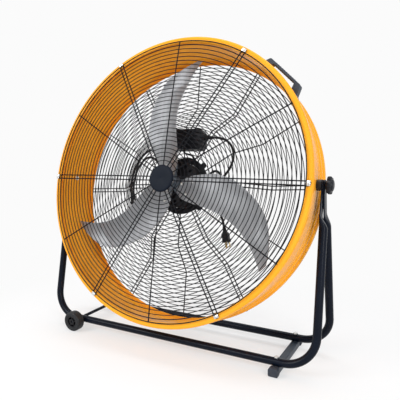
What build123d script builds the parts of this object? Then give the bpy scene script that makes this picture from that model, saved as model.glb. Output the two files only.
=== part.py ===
from build123d import *
from math import asin, atan2, cos, degrees, hypot, pi, radians, sin, sqrt, tan
import os

os.makedirs("parts", exist_ok=True)

# Drum fan on a two-tube stand. Millimetres, Z up, the fan blows towards -Y.
# The drum and all that it carries are drawn in the drum's own frame, axis along Y, then tilted.

# ---- driving sizes ------------------------------------------------------------------------------
DRUM_R = 400.0            # front band, outside
DRUM_DEPTH = 159.0        # rim to rim
SHEET = 1.5               # drum sheet
RIM_LIP = 18.0            # width of the front annulus
RIM_LAP = 3.0             # the guards' outermost ring lies this far out on the lips
FLOOR_ROOM = 70.9         # tilt axis above the floor, over and above the drum's radius
REST_TILT = 14.26         # front looks up by this much at rest
PIVOT_ABOVE = 9.64        # tilt axis above the drum's centre
PIVOT_AHEAD = 2.45        # tilt axis ahead of the drum's centre
TUBE_R = 10.5
TUBE_BORE = 9.0
TUBE_FLOOR = 30.6         # bottom tube centre above the floor
FRAME_SPREAD = 84.4       # bottom tube centre from the middle plane
RING_PITCH = 11.2
WIRE = 3.2                # guard spoke wire
TWIN = 5.3                # half distance between doubled spokes
TIP_ROOM = 38.0           # from the blades' tips to the drum's wall
MOTOR_R = 66.0
SEAT = 0.1                # clearance between pieces bolted face to face
RUN = 0.08                # radial clearance of a turning fit
ROUND = 24                # sides of small turned pieces
SMALL = 6                 # sides of screw heads and shanks
TUBE_SIDES = 12           # flats of the stand tube, each within 0.4 mm of round
FINE = 12                 # sides of bores and bolts

# ---- derived sizes ------------------------------------------------------------------------------
HALF = DRUM_DEPTH / 2
BODY_R = DRUM_R - 9
LIP_R = DRUM_R - RIM_LIP
REAR_R = DRUM_R - 4
GUARD_R = LIP_R + RIM_LAP  # outermost guard ring
CLIP_R = GUARD_R + 6      # screws of the guards' clips
REAR_TURN = -2.6          # the rear guard sits turned against the front one
BLADE_TIP = BODY_R - TIP_ROOM
PIVOT_HEIGHT = DRUM_R + FLOOR_ROOM
TAB_IN = BODY_R + 13      # inner face of the front frame's flattened ends
TAB_T = 4.0
UPRIGHT_X = TAB_IN + 8.5
CORNER_X = UPRIGHT_X + 6.25
FRAME_RISE = PIVOT_HEIGHT - TUBE_FLOOR
FRAME_LEN = hypot(FRAME_RISE, FRAME_SPREAD)
LEAN_SIN = FRAME_SPREAD / FRAME_LEN
LEAN_COS = FRAME_RISE / FRAME_LEN

# centre of the ground rectangle: the guards' outer rings reach furthest forward and back
RING_SEAT = 0.18          # gap under a ring where the spokes slope
RIM_RING = 3.0            # wire size of the two outer rings
tilt_sin, tilt_cos = sin(radians(REST_TILT)), cos(radians(REST_TILT))
reach_front = (HALF + SEAT + WIRE + RING_SEAT + RIM_RING) * tilt_cos + GUARD_R * tilt_sin
reach_back = (HALF + SEAT + WIRE) * tilt_cos + (GUARD_R + WIRE / 2) * tilt_sin
base = Location((0, (reach_front - reach_back) / 2, 0))
in_drum = (
    base
    * Location((0, 0, PIVOT_HEIGHT), (-REST_TILT, 0, 0))
    * Location((0, PIVOT_AHEAD, -PIVOT_ABOVE))
)


def finish(shape, name, place):
    """Move a finished piece into the common frame, name it and write it."""
    moved = place * shape
    moved.label = name
    export_step(moved, "parts/" + name + ".step")


def bore(radius, sides=FINE):
    """Corner radius of a hole whose flats stand at this radius."""
    return radius / cos(pi / sides)


def facing(y):
    """Sketch plane square to the drum's axis at depth y, X right and Z up."""
    return Plane.XZ.offset(-y)


def clock(angle):
    """Turn about the drum's axis, clockwise seen from the front, zero at the top."""
    return Location((0, 0, 0), (0, angle, 0))


# ==== stand ======================================================================================
# Each frame is one tube: two corners bent to 78 mm, uprights leaning in to the tilt axis, and
# both ends pressed flat and drilled for the pivot bolt.
BEND_R = 78.0
FLAT = 73.0               # flattened length below the tilt axis
PRESS = 34.0              # length over which the round tube goes flat
TAB_W = 27.0
end_v = FRAME_LEN - FLAT - PRESS


def flattened(across, along):
    """Corners of a tube's outline, round or pressed flat."""
    step = 2 * pi / SMALL
    return [(across * cos(step * k), along * sin(step * k)) for k in range(SMALL)]


end_x = UPRIGHT_X + (CORNER_X - UPRIGHT_X) * (1 - end_v / FRAME_LEN)
AXLE_X = 96.05 - CORNER_X
AXLE_R = 5.0
FOOT_X = CORNER_X - 93.55
BOLT_R = 4.0

for name, side, tab_x in (("front_frame", -1, TAB_IN), ("rear_frame", 1, TAB_IN + TAB_T)):
    lean = Plane(
        origin=(0, side * FRAME_SPREAD, TUBE_FLOOR),
        x_dir=(1, 0, 0),
        z_dir=(0, -LEAN_COS, -side * LEAN_SIN),
    )
    with BuildPart() as frame:
        with BuildLine(lean) as bent:
            FilletPolyline(
                (-end_x, end_v), (-CORNER_X, 0), (CORNER_X, 0), (end_x, end_v), radius=BEND_R
            )
        with BuildSketch(Plane(bent.line @ 0, z_dir=bent.line % 0)):
            RegularPolygon(TUBE_R, TUBE_SIDES)
            RegularPolygon(TUBE_BORE, SMALL, mode=Mode.SUBTRACT)
        sweep()
        for hand in (1, -1):
            low = lean.from_local_coords((hand * end_x, end_v, 0))
            high = lean.from_local_coords((hand * (tab_x + TAB_T / 2), FRAME_LEN - FLAT, 0))
            for spot, across, along in ((low, TUBE_R, TUBE_R), (high, TAB_T / 2, TAB_W / 2)):
                with BuildSketch(Plane(spot, x_dir=lean.x_dir, z_dir=lean.y_dir)):
                    Polygon(*flattened(across, along), align=None)
            loft(ruled=True)
            tab = Plane(
                lean.from_local_coords((hand * tab_x, 0, 0)), x_dir=lean.y_dir,
                z_dir=lean.x_dir * hand,
            )
            with BuildSketch(tab):
                with Locations((FRAME_LEN - FLAT / 2, 0)):
                    Rectangle(FLAT, TAB_W)
                with Locations((FRAME_LEN, 0)):
                    RegularPolygon(TAB_W / 2, ROUND)
                    RegularPolygon(bore(BOLT_R + RUN), FINE, mode=Mode.SUBTRACT)
            extrude(amount=TAB_T)
        # axle hole through the bottom tube, bolt hole over the foot bar
        with BuildSketch(Plane.XZ.offset(2 * FRAME_SPREAD)):
            with Locations((AXLE_X, TUBE_FLOOR)):
                RegularPolygon(bore(AXLE_R + SEAT), FINE)
        extrude(amount=-4 * FRAME_SPREAD, mode=Mode.SUBTRACT)
        with BuildSketch(Plane.XY):
            with Locations((FOOT_X, side * FRAME_SPREAD)):
                RegularPolygon(3 + 2 * SEAT, SMALL)
        extrude(amount=2 * TUBE_FLOOR, mode=Mode.SUBTRACT)
    finish(frame.part, name, base)

# Wheels on one axle at the left, a foot bar at the right
WHEEL_R = TUBE_FLOOR
WHEEL_W = 28.0
WHEEL_Y = FRAME_SPREAD + 29.8
HUB_R = 19.0
AXLE_END = WHEEL_Y + 9
with BuildPart() as axle:
    with BuildSketch(Plane.XZ.offset(-AXLE_END)):
        with Locations((AXLE_X, TUBE_FLOOR)):
            Circle(AXLE_R)
    extrude(amount=2 * AXLE_END)
finish(axle.part, "axle", base)

with BuildPart() as spacers:
    for side in (-1, 1):
        with BuildSketch(Plane.XZ.offset(-side * (FRAME_SPREAD + TUBE_R + SEAT))):
            with Locations((AXLE_X, TUBE_FLOOR)):
                RegularPolygon(8.5, ROUND // 2)
                RegularPolygon(AXLE_R + 1, SMALL, mode=Mode.SUBTRACT)
        extrude(amount=-side * (WHEEL_Y - WHEEL_W / 2 + 0.7 - FRAME_SPREAD - TUBE_R - SEAT))
finish(spacers.part, "axle_spacers", base)

with BuildPart() as nuts:
    for side in (-1, 1):
        with BuildSketch(Plane.XZ.offset(-side * (WHEEL_Y + 2.4))):
            with Locations((AXLE_X, TUBE_FLOOR)):
                RegularPolygon(8.5, 6)
                RegularPolygon(AXLE_R + 1, SMALL, mode=Mode.SUBTRACT)
        extrude(amount=-side * 6)
finish(nuts.part, "axle_nuts", base)

for name, side in (("front", -1), ("rear", 1)):
    place = base * Location((AXLE_X, side * WHEEL_Y, TUBE_FLOOR))
    # hub: barrel and web with a boss, five spokes left between the windows
    with BuildPart() as hub:
        with BuildSketch(Plane.XZ):
            RegularPolygon(HUB_R, ROUND)
            RegularPolygon(bore(AXLE_R + RUN), FINE, mode=Mode.SUBTRACT)
        extrude(amount=WHEEL_W / 2 - 1, both=True)
        with BuildSketch(Plane.XZ.offset(-side * 2)):
            RegularPolygon(HUB_R - 2.5, ROUND)
        extrude(amount=-side * 20, mode=Mode.SUBTRACT)
        with BuildSketch(Plane.XZ.offset(WHEEL_W / 2)):
            with PolarLocations(12.2, 5):
                Rectangle(5, 7)
        extrude(amount=-WHEEL_W, mode=Mode.SUBTRACT)
    finish(hub.part, name + "_wheel_hub", place)
    with BuildPart() as tyre:
        with BuildSketch(Plane.XZ):
            RegularPolygon(WHEEL_R, 36)
        extrude(amount=WHEEL_W / 2, both=True)
        chamfer(tyre.faces().filter_by(Axis.Y).edges(), 3)
        with BuildSketch(Plane.XZ.offset(WHEEL_W / 2)):
            RegularPolygon(HUB_R + SEAT, ROUND)
        extrude(amount=-WHEEL_W, mode=Mode.SUBTRACT)
    finish(tyre.part, name + "_tyre", place)

BAR_TOP = TUBE_FLOOR - TUBE_R - SEAT
PAD_H = 2.5
BAR_HALF = FRAME_SPREAD + 12
with BuildPart() as foot_bar:
    with BuildSketch(Plane.XZ.offset(BAR_HALF)):
        with Locations((FOOT_X, (BAR_TOP + PAD_H + SEAT) / 2)):
            Rectangle(20, BAR_TOP - PAD_H - SEAT)
    extrude(amount=-2 * BAR_HALF)
    with BuildSketch(Plane.XY.offset(BAR_TOP)):
        with Locations((FOOT_X, FRAME_SPREAD), (FOOT_X, -FRAME_SPREAD)):
            RegularPolygon(3 + 2 * SEAT, SMALL)
    extrude(amount=-12, mode=Mode.SUBTRACT)
    chamfer(foot_bar.edges().filter_by(Axis.Y), 2)
finish(foot_bar.part, "foot_bar", base)

with BuildPart() as bar_ends:
    for side in (-1, 1):
        with BuildSketch(Plane.XZ.offset(-side * (BAR_HALF + SEAT))):
            with Locations((FOOT_X, 13)):
                RegularPolygon(14, 8, rotation=22.5)
        extrude(amount=-side * 18)
    chamfer(bar_ends.faces().filter_by(Axis.Y).sort_by(Axis.Y)[0].edges(), 2.5)
    chamfer(bar_ends.faces().filter_by(Axis.Y).sort_by(Axis.Y)[-1].edges(), 2.5)
finish(bar_ends.part, "foot_bar_ends", base)

with BuildPart() as pads:
    with BuildSketch(Plane.XY):
        for side in (-1, 1):
            with Locations((FOOT_X, side * (FRAME_SPREAD - 4))):
                Rectangle(16, 26)
    extrude(amount=PAD_H)
finish(pads.part, "foot_pads", base)

with BuildPart() as bar_bolts:
    for side in (-1, 1):
        with BuildSketch(Plane.XY.offset(TUBE_FLOOR + TUBE_R + SEAT)):
            with Locations((FOOT_X, side * FRAME_SPREAD)):
                RegularPolygon(6.5, 6)
        extrude(amount=4.5)
        with BuildSketch(Plane.XY.offset(BAR_TOP - 11)):
            with Locations((FOOT_X, side * FRAME_SPREAD)):
                RegularPolygon(3, SMALL)
        extrude(amount=TUBE_FLOOR + TUBE_R + 1 - BAR_TOP + 11)
finish(bar_bolts.part, "foot_bar_bolts", base)

# ==== drum =======================================================================================
# One rolled sheet: raised front band with an inward lip, plain body, pressed ridge, rear bead.
BAND_Y = 22.5 - HALF       # back edge of the front band
BEAD_Y = HALF - 18.5       # front edge of the rear bead
LIP_Y = HALF - SHEET
with BuildPart() as shell:
    with BuildSketch(Plane.XY):
        with BuildLine():
            Polyline(
                (LIP_R, -HALF), (DRUM_R, -HALF), (DRUM_R, BAND_Y), (BODY_R, BAND_Y + 4),
                (BODY_R, BEAD_Y - 5), (REAR_R, BEAD_Y), (REAR_R, HALF), (LIP_R, HALF),
                (LIP_R, LIP_Y), (REAR_R - SHEET, LIP_Y), (REAR_R - SHEET, BEAD_Y + 0.6),
                (BODY_R - SHEET, BEAD_Y - 4.4), (BODY_R - SHEET, BAND_Y + 4.6),
                (DRUM_R - SHEET, BAND_Y + 0.6), (DRUM_R - SHEET, -LIP_Y), (LIP_R, -LIP_Y),
                close=True,
            )
        make_face()
    revolve(axis=Axis.Y)
    # bolt holes on the tilt axis
    with BuildSketch(Plane.YZ.offset(-DRUM_R)):
        with Locations((-PIVOT_AHEAD, PIVOT_ABOVE)):
            RegularPolygon(bore(BOLT_R + SEAT), FINE)
    extrude(amount=2 * DRUM_R, mode=Mode.SUBTRACT)
    # guard screw holes in the front and rear lips, six each
    for turn, depth in ((0, -HALF), (REAR_TURN, LIP_Y)):
        with BuildSketch(facing(depth)):
            with PolarLocations(CLIP_R, 6, start_angle=-turn):
                RegularPolygon(1.8, SMALL)
        extrude(amount=-SHEET, mode=Mode.SUBTRACT)
finish(shell.part, "drum_shell", in_drum)

# Spacer bushes, saddled to the drum, and the pivot bolts with their heads inside
BUSH_R = 14.0
with BuildPart() as bushes:
    for hand in (1, -1):
        with BuildSketch(Plane.YZ.offset(hand * (BODY_R + SEAT))):
            with Locations((-PIVOT_AHEAD, PIVOT_ABOVE)):
                RegularPolygon(BUSH_R, ROUND)
                RegularPolygon(bore(BOLT_R + SEAT), FINE, mode=Mode.SUBTRACT)
        extrude(amount=hand * (TAB_IN - 0.2 - BODY_R - SEAT))
finish(bushes.part, "pivot_bushes", in_drum)

KNOB_IN = TAB_IN + 2 * TAB_T + 0.2
HEAD_X = BODY_R - SHEET - 0.6
with BuildPart() as bolts:
    for hand in (1, -1):
        with BuildSketch(Plane.YZ.offset(hand * (HEAD_X - 3.5))):
            with Locations((-PIVOT_AHEAD, PIVOT_ABOVE)):
                RegularPolygon(8, SMALL)
        extrude(amount=hand * 3.5)
        with BuildSketch(Plane.YZ.offset(hand * (HEAD_X - 1))):
            with Locations((-PIVOT_AHEAD, PIVOT_ABOVE)):
                RegularPolygon(BOLT_R, FINE)
        extrude(amount=hand * (KNOB_IN + 11.5 - HEAD_X))
finish(bolts.part, "pivot_bolts", in_drum)

# Lobed hand knobs: neck, six-lobed grip, domed cover
KNOB_R = 23.0
for name, hand in (("knob_right", 1), ("knob_left", -1)):
    with BuildPart() as knob:
        face = Plane(origin=(hand * KNOB_IN, -PIVOT_AHEAD, PIVOT_ABOVE), z_dir=(hand, 0, 0))
        with BuildSketch(face):
            RegularPolygon(11, ROUND)
        extrude(amount=4)
        with BuildSketch(face.offset(4)):
            RegularPolygon(KNOB_R - 4, ROUND)
            with PolarLocations(KNOB_R - 6.5, 6):
                RegularPolygon(6.5, SMALL)
        extrude(amount=11)
        with BuildSketch(face.offset(15)):
            RegularPolygon(KNOB_R - 8, ROUND)
        extrude(amount=4.5)
        chamfer(knob.faces().sort_by(Axis.X)[-1 if hand > 0 else 0].edges(), 3)
        with BuildSketch(face):
            RegularPolygon(bore(BOLT_R + RUN), FINE)
        extrude(amount=12, mode=Mode.SUBTRACT)
    finish(knob.part, name, in_drum)

# Carrying handle on top right: a bridge between two bevelled feet, ribbed under the fingers
HANDLE_CLOCK = 43.15
HANDLE_HALF = 75.0
GRIP_TOP = BODY_R + 26
FOOT_TOP = BODY_R - 5     # outer corners of the feet
ARCH_IN = BODY_R - 11     # drawn this far in, then cut back to the drum's wall
SPRING = BODY_R + 7       # where the finger opening's ends turn up
GRIP_W = 26.0
GRIP_T = 6.0
with BuildPart() as handle:
    with BuildSketch(facing(-GRIP_W / 2)):
        with BuildLine():
            Polyline(
                (-HANDLE_HALF, ARCH_IN), (-HANDLE_HALF, FOOT_TOP), (-59, GRIP_TOP), (59, GRIP_TOP),
                (HANDLE_HALF, FOOT_TOP), (HANDLE_HALF, ARCH_IN), (46, ARCH_IN), (46, SPRING),
                (41, GRIP_TOP - GRIP_T), (-41, GRIP_TOP - GRIP_T), (-46, SPRING), (-46, ARCH_IN),
                close=True,
            )
        make_face()
    extrude(amount=-GRIP_W)
    # wider feet
    with BuildSketch(facing(-17.5)):
        for hand in (1, -1):
            with Locations((hand * 61, BODY_R - 4.5)):
                Rectangle(28, 13)
    extrude(amount=-35)
    chamfer(handle.edges().filter_by(Axis.X).group_by(Axis.Z)[-1], 2)
    # finger ribs: grooves across the underside
    with BuildSketch(facing(-GRIP_W / 2)):
        with GridLocations(9, 0, 8, 1):
            with Locations((0, GRIP_TOP - GRIP_T)):
                Rectangle(4, 2.4)
    extrude(amount=-GRIP_W, mode=Mode.SUBTRACT)
    with BuildSketch(facing(-50)):
        Circle(BODY_R + 0.05)
    extrude(amount=-100, mode=Mode.SUBTRACT)
finish(handle.part, "handle", in_drum * clock(HANDLE_CLOCK))

# ==== front guard ================================================================================
# Spokes lie on the drum's lip and bow forward; concentric rings are welded on their front.
SPOKE_BACK = -HALF - SEAT
SPOKE_FRONT = SPOKE_BACK - WIRE
DOME = 13.6                                        # how far the middle stands ahead of the rim
DOME_R = (GUARD_R**2 + DOME**2) / (2 * DOME)
SPOKE_IN = 14.0
HALFWAY = (SPOKE_IN + GUARD_R) / 2
HAIRPIN_R = GUARD_R + 10                           # end of a doubled spoke's loop


def dome_front(r):
    """Front face of the spokes at radius r."""
    return SPOKE_FRONT - DOME + DOME_R - sqrt(DOME_R**2 - r**2)


with BuildPart() as one_spoke:
    with BuildSketch(Plane.YZ):
        with BuildLine():
            front_arc = ThreePointArc(
                (dome_front(SPOKE_IN), SPOKE_IN), (dome_front(HALFWAY), HALFWAY),
                (dome_front(GUARD_R), GUARD_R),
            )
            rim_front = Line(front_arc @ 1, (SPOKE_FRONT, GUARD_R + 1.5))
            rim_end = Line(rim_front @ 1, (SPOKE_BACK, GUARD_R + 1.5))
            rim_back = Line(rim_end @ 1, (SPOKE_BACK, GUARD_R))
            back_arc = ThreePointArc(
                rim_back @ 1, (dome_front(HALFWAY) + WIRE, HALFWAY),
                (dome_front(SPOKE_IN) + WIRE, SPOKE_IN),
            )
            Line(back_arc @ 1, front_arc @ 0)
        make_face()
    extrude(amount=WIRE / 2, both=True)

with BuildPart() as hairpin:
    add(one_spoke.part.moved(Location((TWIN, 0, 0))))
    add(one_spoke.part.moved(Location((-TWIN, 0, 0))))
    with BuildSketch(facing(SPOKE_BACK)):
        with Locations((TWIN, GUARD_R + 4.5), (-TWIN, GUARD_R + 4.5)):
            Rectangle(WIRE, 11)
        with Locations((0, HAIRPIN_R)):
            Rectangle(2 * TWIN + WIRE, WIRE)
    extrude(amount=WIRE)

front_spokes = Compound(
    [clock(60 * k) * one_spoke.part.solid() for k in range(6)]
    + [clock(30 + 60 * k) * hairpin.part.solid() for k in range(6)]
)
finish(front_spokes, "front_guard_spokes", in_drum)

SIDES = 24                                         # a ring runs straight from spoke to spoke
RING_WIRE = 2.2
COARSE_R = 175.0


def ring_corners(radius, y):
    """Corners of one ring, a corner on every spoke line; small rings have half as many."""
    sides = SIDES if radius > COARSE_R else SIDES // 2
    step = 2 * pi / sides
    return [(radius * sin(step * k), y, radius * cos(step * k)) for k in range(sides)]


def ring(radius, flat_y, size, face=-1, slope=0.0):
    """One ring of three-cornered wire; its flat side rests at flat_y and the edge points to face."""
    with BuildPart(mode=Mode.PRIVATE) as loop:
        with BuildLine(mode=Mode.PRIVATE) as path:
            Polyline(*ring_corners(radius, flat_y), close=True)
        section = Plane((0, flat_y, radius), x_dir=(0, cos(slope), sin(slope)), z_dir=(1, 0, 0))
        with BuildSketch(section):
            Polygon((0, -size / 2), (0, size / 2), (face * size, 0), align=None)
        sweep(path=path.wires()[0], transition=Transition.RIGHT)
    return loop.part.solid()


CAP_R = 37.35
front_rings = []
for k in range(int((GUARD_R - CAP_R) / RING_PITCH)):
    r = GUARD_R - RING_PITCH * k
    size = RIM_RING if k < 2 else RING_WIRE
    front_rings.append(ring(r, dome_front(r) - RING_SEAT, size))
finish(Compound(front_rings), "front_guard_rings", in_drum)

CAP_BACK = SPOKE_FRONT - DOME - SEAT - 0.1
CAP_T = 4.9
with BuildPart() as cap:
    with BuildSketch(facing(CAP_BACK)):
        RegularPolygon(CAP_R, 36)
    extrude(amount=CAP_T)
    chamfer(cap.faces().sort_by(Axis.Y)[0].edges(), 2.5)
finish(cap.part, "front_guard_cap", in_drum)

# Clips over the hairpin ends, a screw through each into the lip
CLIP_T = 1.2
for name, turn, depth, away in (
    ("front", 0, SPOKE_FRONT, -1), ("rear", REAR_TURN, HALF + SEAT + WIRE, 1),
):
    with BuildPart() as clips:
        with BuildSketch(facing(depth + away * SEAT)):
            with PolarLocations(CLIP_R, 6, start_angle=0):
                Rectangle(8, 15)
                RegularPolygon(1.8, SMALL, mode=Mode.SUBTRACT)
        extrude(amount=-away * CLIP_T)
    finish(clips.part, name + "_guard_clips", in_drum * clock(turn))
    with BuildPart() as screws:
        with BuildSketch(facing(depth + away * (2 * SEAT + CLIP_T))):
            with PolarLocations(CLIP_R, 6, start_angle=0):
                RegularPolygon(3.4, SMALL)
        extrude(amount=-away * 2)
        with BuildSketch(facing(depth + away * (CLIP_T + 1))):
            with PolarLocations(CLIP_R, 6, start_angle=0):
                RegularPolygon(1.6, SMALL)
        extrude(amount=away * (WIRE + 7))
    finish(screws.part, name + "_guard_screws", in_drum * clock(turn))

# ==== rear guard =================================================================================
# Dished: a flat outer field behind the rim, a cone going forward, a flat centre for the motor.
FIELD_Y = HALF + SEAT                              # front face of the outer field's spokes
FOLD_R = 246.0                                     # where the field turns into the cone
FIELD_RINGS = int((GUARD_R - FOLD_R) / RING_PITCH)
FOLD_RING = GUARD_R - FIELD_RINGS * RING_PITCH
DISH_R = 178.0                                     # where the cone meets the flat centre
CENTRE_Y = 18.5                                    # front face of the centre spokes
MOTOR_HOLE = MOTOR_R + 13.6                        # inner ends of the centre spokes
CENTRE_IN = MOTOR_HOLE + 3                         # innermost ring of the flat centre
CENTRE_RINGS = 1 + int((DISH_R - 5 - CENTRE_IN) / RING_PITCH)
rear = in_drum * clock(REAR_TURN)

with BuildPart() as field:
    with BuildSketch(facing(FIELD_Y)):
        for radius in (GUARD_R, FOLD_RING):
            RegularPolygon(radius + WIRE / 2, SIDES)
            RegularPolygon(radius - WIRE / 2, SIDES, mode=Mode.SUBTRACT)
        mid = (FOLD_R - 2.5 + GUARD_R) / 2
        long = GUARD_R - FOLD_R + 2.5
        with PolarLocations(mid, 6, start_angle=30):
            Rectangle(long, WIRE)
        with PolarLocations(mid + 4.5, 6, start_angle=0):
            with Locations((0, TWIN), (0, -TWIN)):
                Rectangle(long + 9, WIRE)
        with PolarLocations(HAIRPIN_R - 0.6, 6, start_angle=0):
            Rectangle(WIRE, 2 * TWIN + WIRE)
    extrude(amount=-WIRE)
finish(field.part, "rear_guard_field", rear)

field_rings = [
    ring(GUARD_R - RING_PITCH * k, FIELD_Y - SEAT, RING_WIRE) for k in range(1, FIELD_RINGS)
]
finish(Compound(field_rings), "rear_guard_field_rings", rear)

# cone bars run from under the field's stubs to the back of the centre spokes
CONE_TOP = FIELD_Y - SEAT
CONE_LOW = CENTRE_Y + WIRE + SEAT
with BuildPart() as bar:
    with BuildSketch(Plane.YZ):
        Polygon(
            (CONE_TOP, FOLD_R - 2), (CONE_TOP, FOLD_R + 2), (CONE_LOW, DISH_R + 2),
            (CONE_LOW, DISH_R - 2), align=None,
        )
    extrude(amount=WIRE / 2, both=True)
cone_slope = atan2(FOLD_R - DISH_R, CONE_TOP - CONE_LOW)


def cone_r(y):
    """Middle of the cone bars at depth y."""
    return DISH_R + (y - CONE_LOW) * (FOLD_R - DISH_R) / (CONE_TOP - CONE_LOW)


cone_ends = [
    ring(cone_r(y) + 1.2, y, 2.6, 1, cone_slope - pi / 2) for y in (CONE_TOP - 3, CONE_LOW + 3)
]
with BuildPart() as cone:
    for k in range(6):
        add(clock(60 * k) * bar.part)
        add(clock(60 * k + 30) * bar.part.moved(Location((TWIN, 0, 0))))
        add(clock(60 * k + 30) * bar.part.moved(Location((-TWIN, 0, 0))))
    add(cone_ends)
finish(cone.part, "rear_guard_cone", rear)

cone_rings = []
for k in range(1, 6):
    y = CONE_LOW + (CONE_TOP - CONE_LOW) * k / 6
    cone_rings.append(ring(cone_r(y) - 2.0 - SEAT, y, RING_WIRE, 1, cone_slope - pi / 2))
finish(Compound(cone_rings), "rear_guard_cone_rings", rear)

with BuildPart() as arm:
    with BuildSketch(facing(CENTRE_Y)):
        with Locations((0, (DISH_R + 4 + MOTOR_HOLE) / 2)):
            Rectangle(WIRE, DISH_R + 4 - MOTOR_HOLE)
    extrude(amount=-WIRE)
centre_spokes = []
for k in range(6):
    centre_spokes.append(clock(60 * k) * arm.part.solid())
    centre_spokes.append(clock(60 * k + 30) * arm.part.solid().moved(Location((TWIN, 0, 0))))
    centre_spokes.append(clock(60 * k + 30) * arm.part.solid().moved(Location((-TWIN, 0, 0))))
finish(Compound(centre_spokes), "rear_guard_centre_spokes", rear)

centre_rings = [
    ring(CENTRE_IN + RING_PITCH * k, CENTRE_Y - SEAT, RING_WIRE)
    for k in reversed(range(CENTRE_RINGS))
]
finish(Compound(centre_rings), "rear_guard_centre_rings", rear)

# ==== motor ======================================================================================
PLATE_Y = CENTRE_Y + WIRE + SEAT
PLATE_T = 3.0
PLATE_BOLT_R = MOTOR_HOLE + 5.6                    # screws into the guard's centre
LUG_R = MOTOR_R + 8                                # screws into the motor's lugs
LUG_T = 3.0
with BuildPart() as plate:
    with BuildSketch(facing(PLATE_Y)):
        RegularPolygon(MOTOR_HOLE + 3, ROUND)
        with PolarLocations(PLATE_BOLT_R, 4, start_angle=45):
            RegularPolygon(9, FINE)
        RegularPolygon(MOTOR_R + 2 * SEAT, ROUND, mode=Mode.SUBTRACT)
        with PolarLocations(PLATE_BOLT_R, 4, start_angle=45):
            RegularPolygon(3 + 2 * SEAT, SMALL, mode=Mode.SUBTRACT)
        with PolarLocations(LUG_R, 4, start_angle=0):
            RegularPolygon(2 + 2 * SEAT, SMALL, mode=Mode.SUBTRACT)
    extrude(amount=-PLATE_T)
finish(plate.part, "motor_plate", in_drum)

for name, bolt_r, first, head, shank, front in (
    ("motor_plate_screws", PLATE_BOLT_R, 45, 6, 3, CENTRE_Y - 4),
    ("motor_lug_screws", LUG_R, 0, 4, 2, PLATE_Y - 6),
):
    with BuildPart() as screws:
        with BuildSketch(facing(PLATE_Y + PLATE_T + SEAT)):
            with PolarLocations(bolt_r, 4, start_angle=first):
                RegularPolygon(head, SMALL)
        extrude(amount=-3)
        with BuildSketch(facing(front)):
            with PolarLocations(bolt_r, 4, start_angle=first):
                RegularPolygon(shank, SMALL)
        extrude(amount=-(PLATE_Y + PLATE_T + 1 - front))
    finish(screws.part, name, in_drum)

# closed barrel with four lugs, and a tapered bell at each end
BARREL_FRONT, BARREL_BACK = 0.0, 46.0
SHAFT_R = 7.5
with BuildPart() as barrel:
    with BuildSketch(facing(BARREL_FRONT)):
        RegularPolygon(MOTOR_R, ROUND)
        RegularPolygon(SHAFT_R + 2, SMALL, mode=Mode.SUBTRACT)
    extrude(amount=BARREL_FRONT - BARREL_BACK)
    with BuildSketch(facing(PLATE_Y - SEAT - LUG_T)):
        with PolarLocations(LUG_R - 4, 4, start_angle=0):
            Rectangle(18, 14)
        with PolarLocations(LUG_R, 4, start_angle=0):
            RegularPolygon(2 + 2 * SEAT, SMALL, mode=Mode.SUBTRACT)
    extrude(amount=-LUG_T)
finish(barrel.part, "motor_barrel", in_drum)

BEARING_R = 17.0
BEARING_W = 10.0
for name, side, edge in (("front", -1, BARREL_FRONT), ("rear", 1, BARREL_BACK)):
    seat = edge + side * SEAT
    with BuildPart() as bell:
        with BuildSketch(facing(seat)):
            RegularPolygon(MOTOR_R, ROUND)
        extrude(amount=-side * 14)
        top = bell.faces().sort_by(Axis.Y)[-1 if side > 0 else 0]
        chamfer(top.edges(), 19, 10, reference=top)
        with BuildSketch(facing(seat + side * 14)):
            RegularPolygon(24, ROUND)
        extrude(amount=-side * 5)
        chamfer(bell.faces().sort_by(Axis.Y)[-1 if side > 0 else 0].edges(), 1.5)
        with BuildSketch(facing(seat)):
            RegularPolygon(BEARING_R + SEAT, ROUND // 2)
        extrude(amount=-side * (BEARING_W + 4), mode=Mode.SUBTRACT)
        with BuildSketch(facing(seat)):
            RegularPolygon(SHAFT_R + 1.5, SMALL)
        extrude(amount=-side * 30, mode=Mode.SUBTRACT)
        # ventilation slots round the taper
        with BuildSketch(facing(seat + side * 7)):
            with PolarLocations(MOTOR_R - 12, 8):
                Rectangle(9, 7)
        extrude(amount=-side * 12, mode=Mode.SUBTRACT)
    finish(bell.part, "motor_" + name + "_bell", in_drum)
    with BuildPart() as bearing:
        with BuildSketch(facing(seat + side * 3.5)):
            RegularPolygon(BEARING_R, ROUND // 2)
            RegularPolygon(bore(SHAFT_R + RUN), ROUND, mode=Mode.SUBTRACT)
        extrude(amount=-side * BEARING_W)
    finish(bearing.part, "motor_" + name + "_bearing", in_drum)

# ==== rotor ======================================================================================
HUB_FRONT = -47.0
HUB_BACK = -21.0
SHAFT_END = HUB_FRONT - 12
with BuildPart() as shaft:
    with BuildSketch(facing(SHAFT_END)):
        Circle(SHAFT_R)
    extrude(amount=SHAFT_END - BARREL_BACK - 17)
finish(shaft.part, "motor_shaft", in_drum)

BLADE_T = 1.6
CAMBER_R = 160.0
FLATS = 6                                          # flats across the camber
ROOT_MID, ROOT_PITCH = -36.0, 24.0                 # depth and turn where the spider holds the blade
ROOT_TOP = 60.0
DRAWN_TIP = 353.0                                  # tip radius that the outline is drawn for


def up(z):
    """Height of a drawn point: the root stays and the rest stretches to the tip."""
    stretch = (BLADE_TIP - ROOT_TOP) / (DRAWN_TIP - ROOT_TOP)
    return z if z < ROOT_TOP else ROOT_TOP + (z - ROOT_TOP) * stretch


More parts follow.
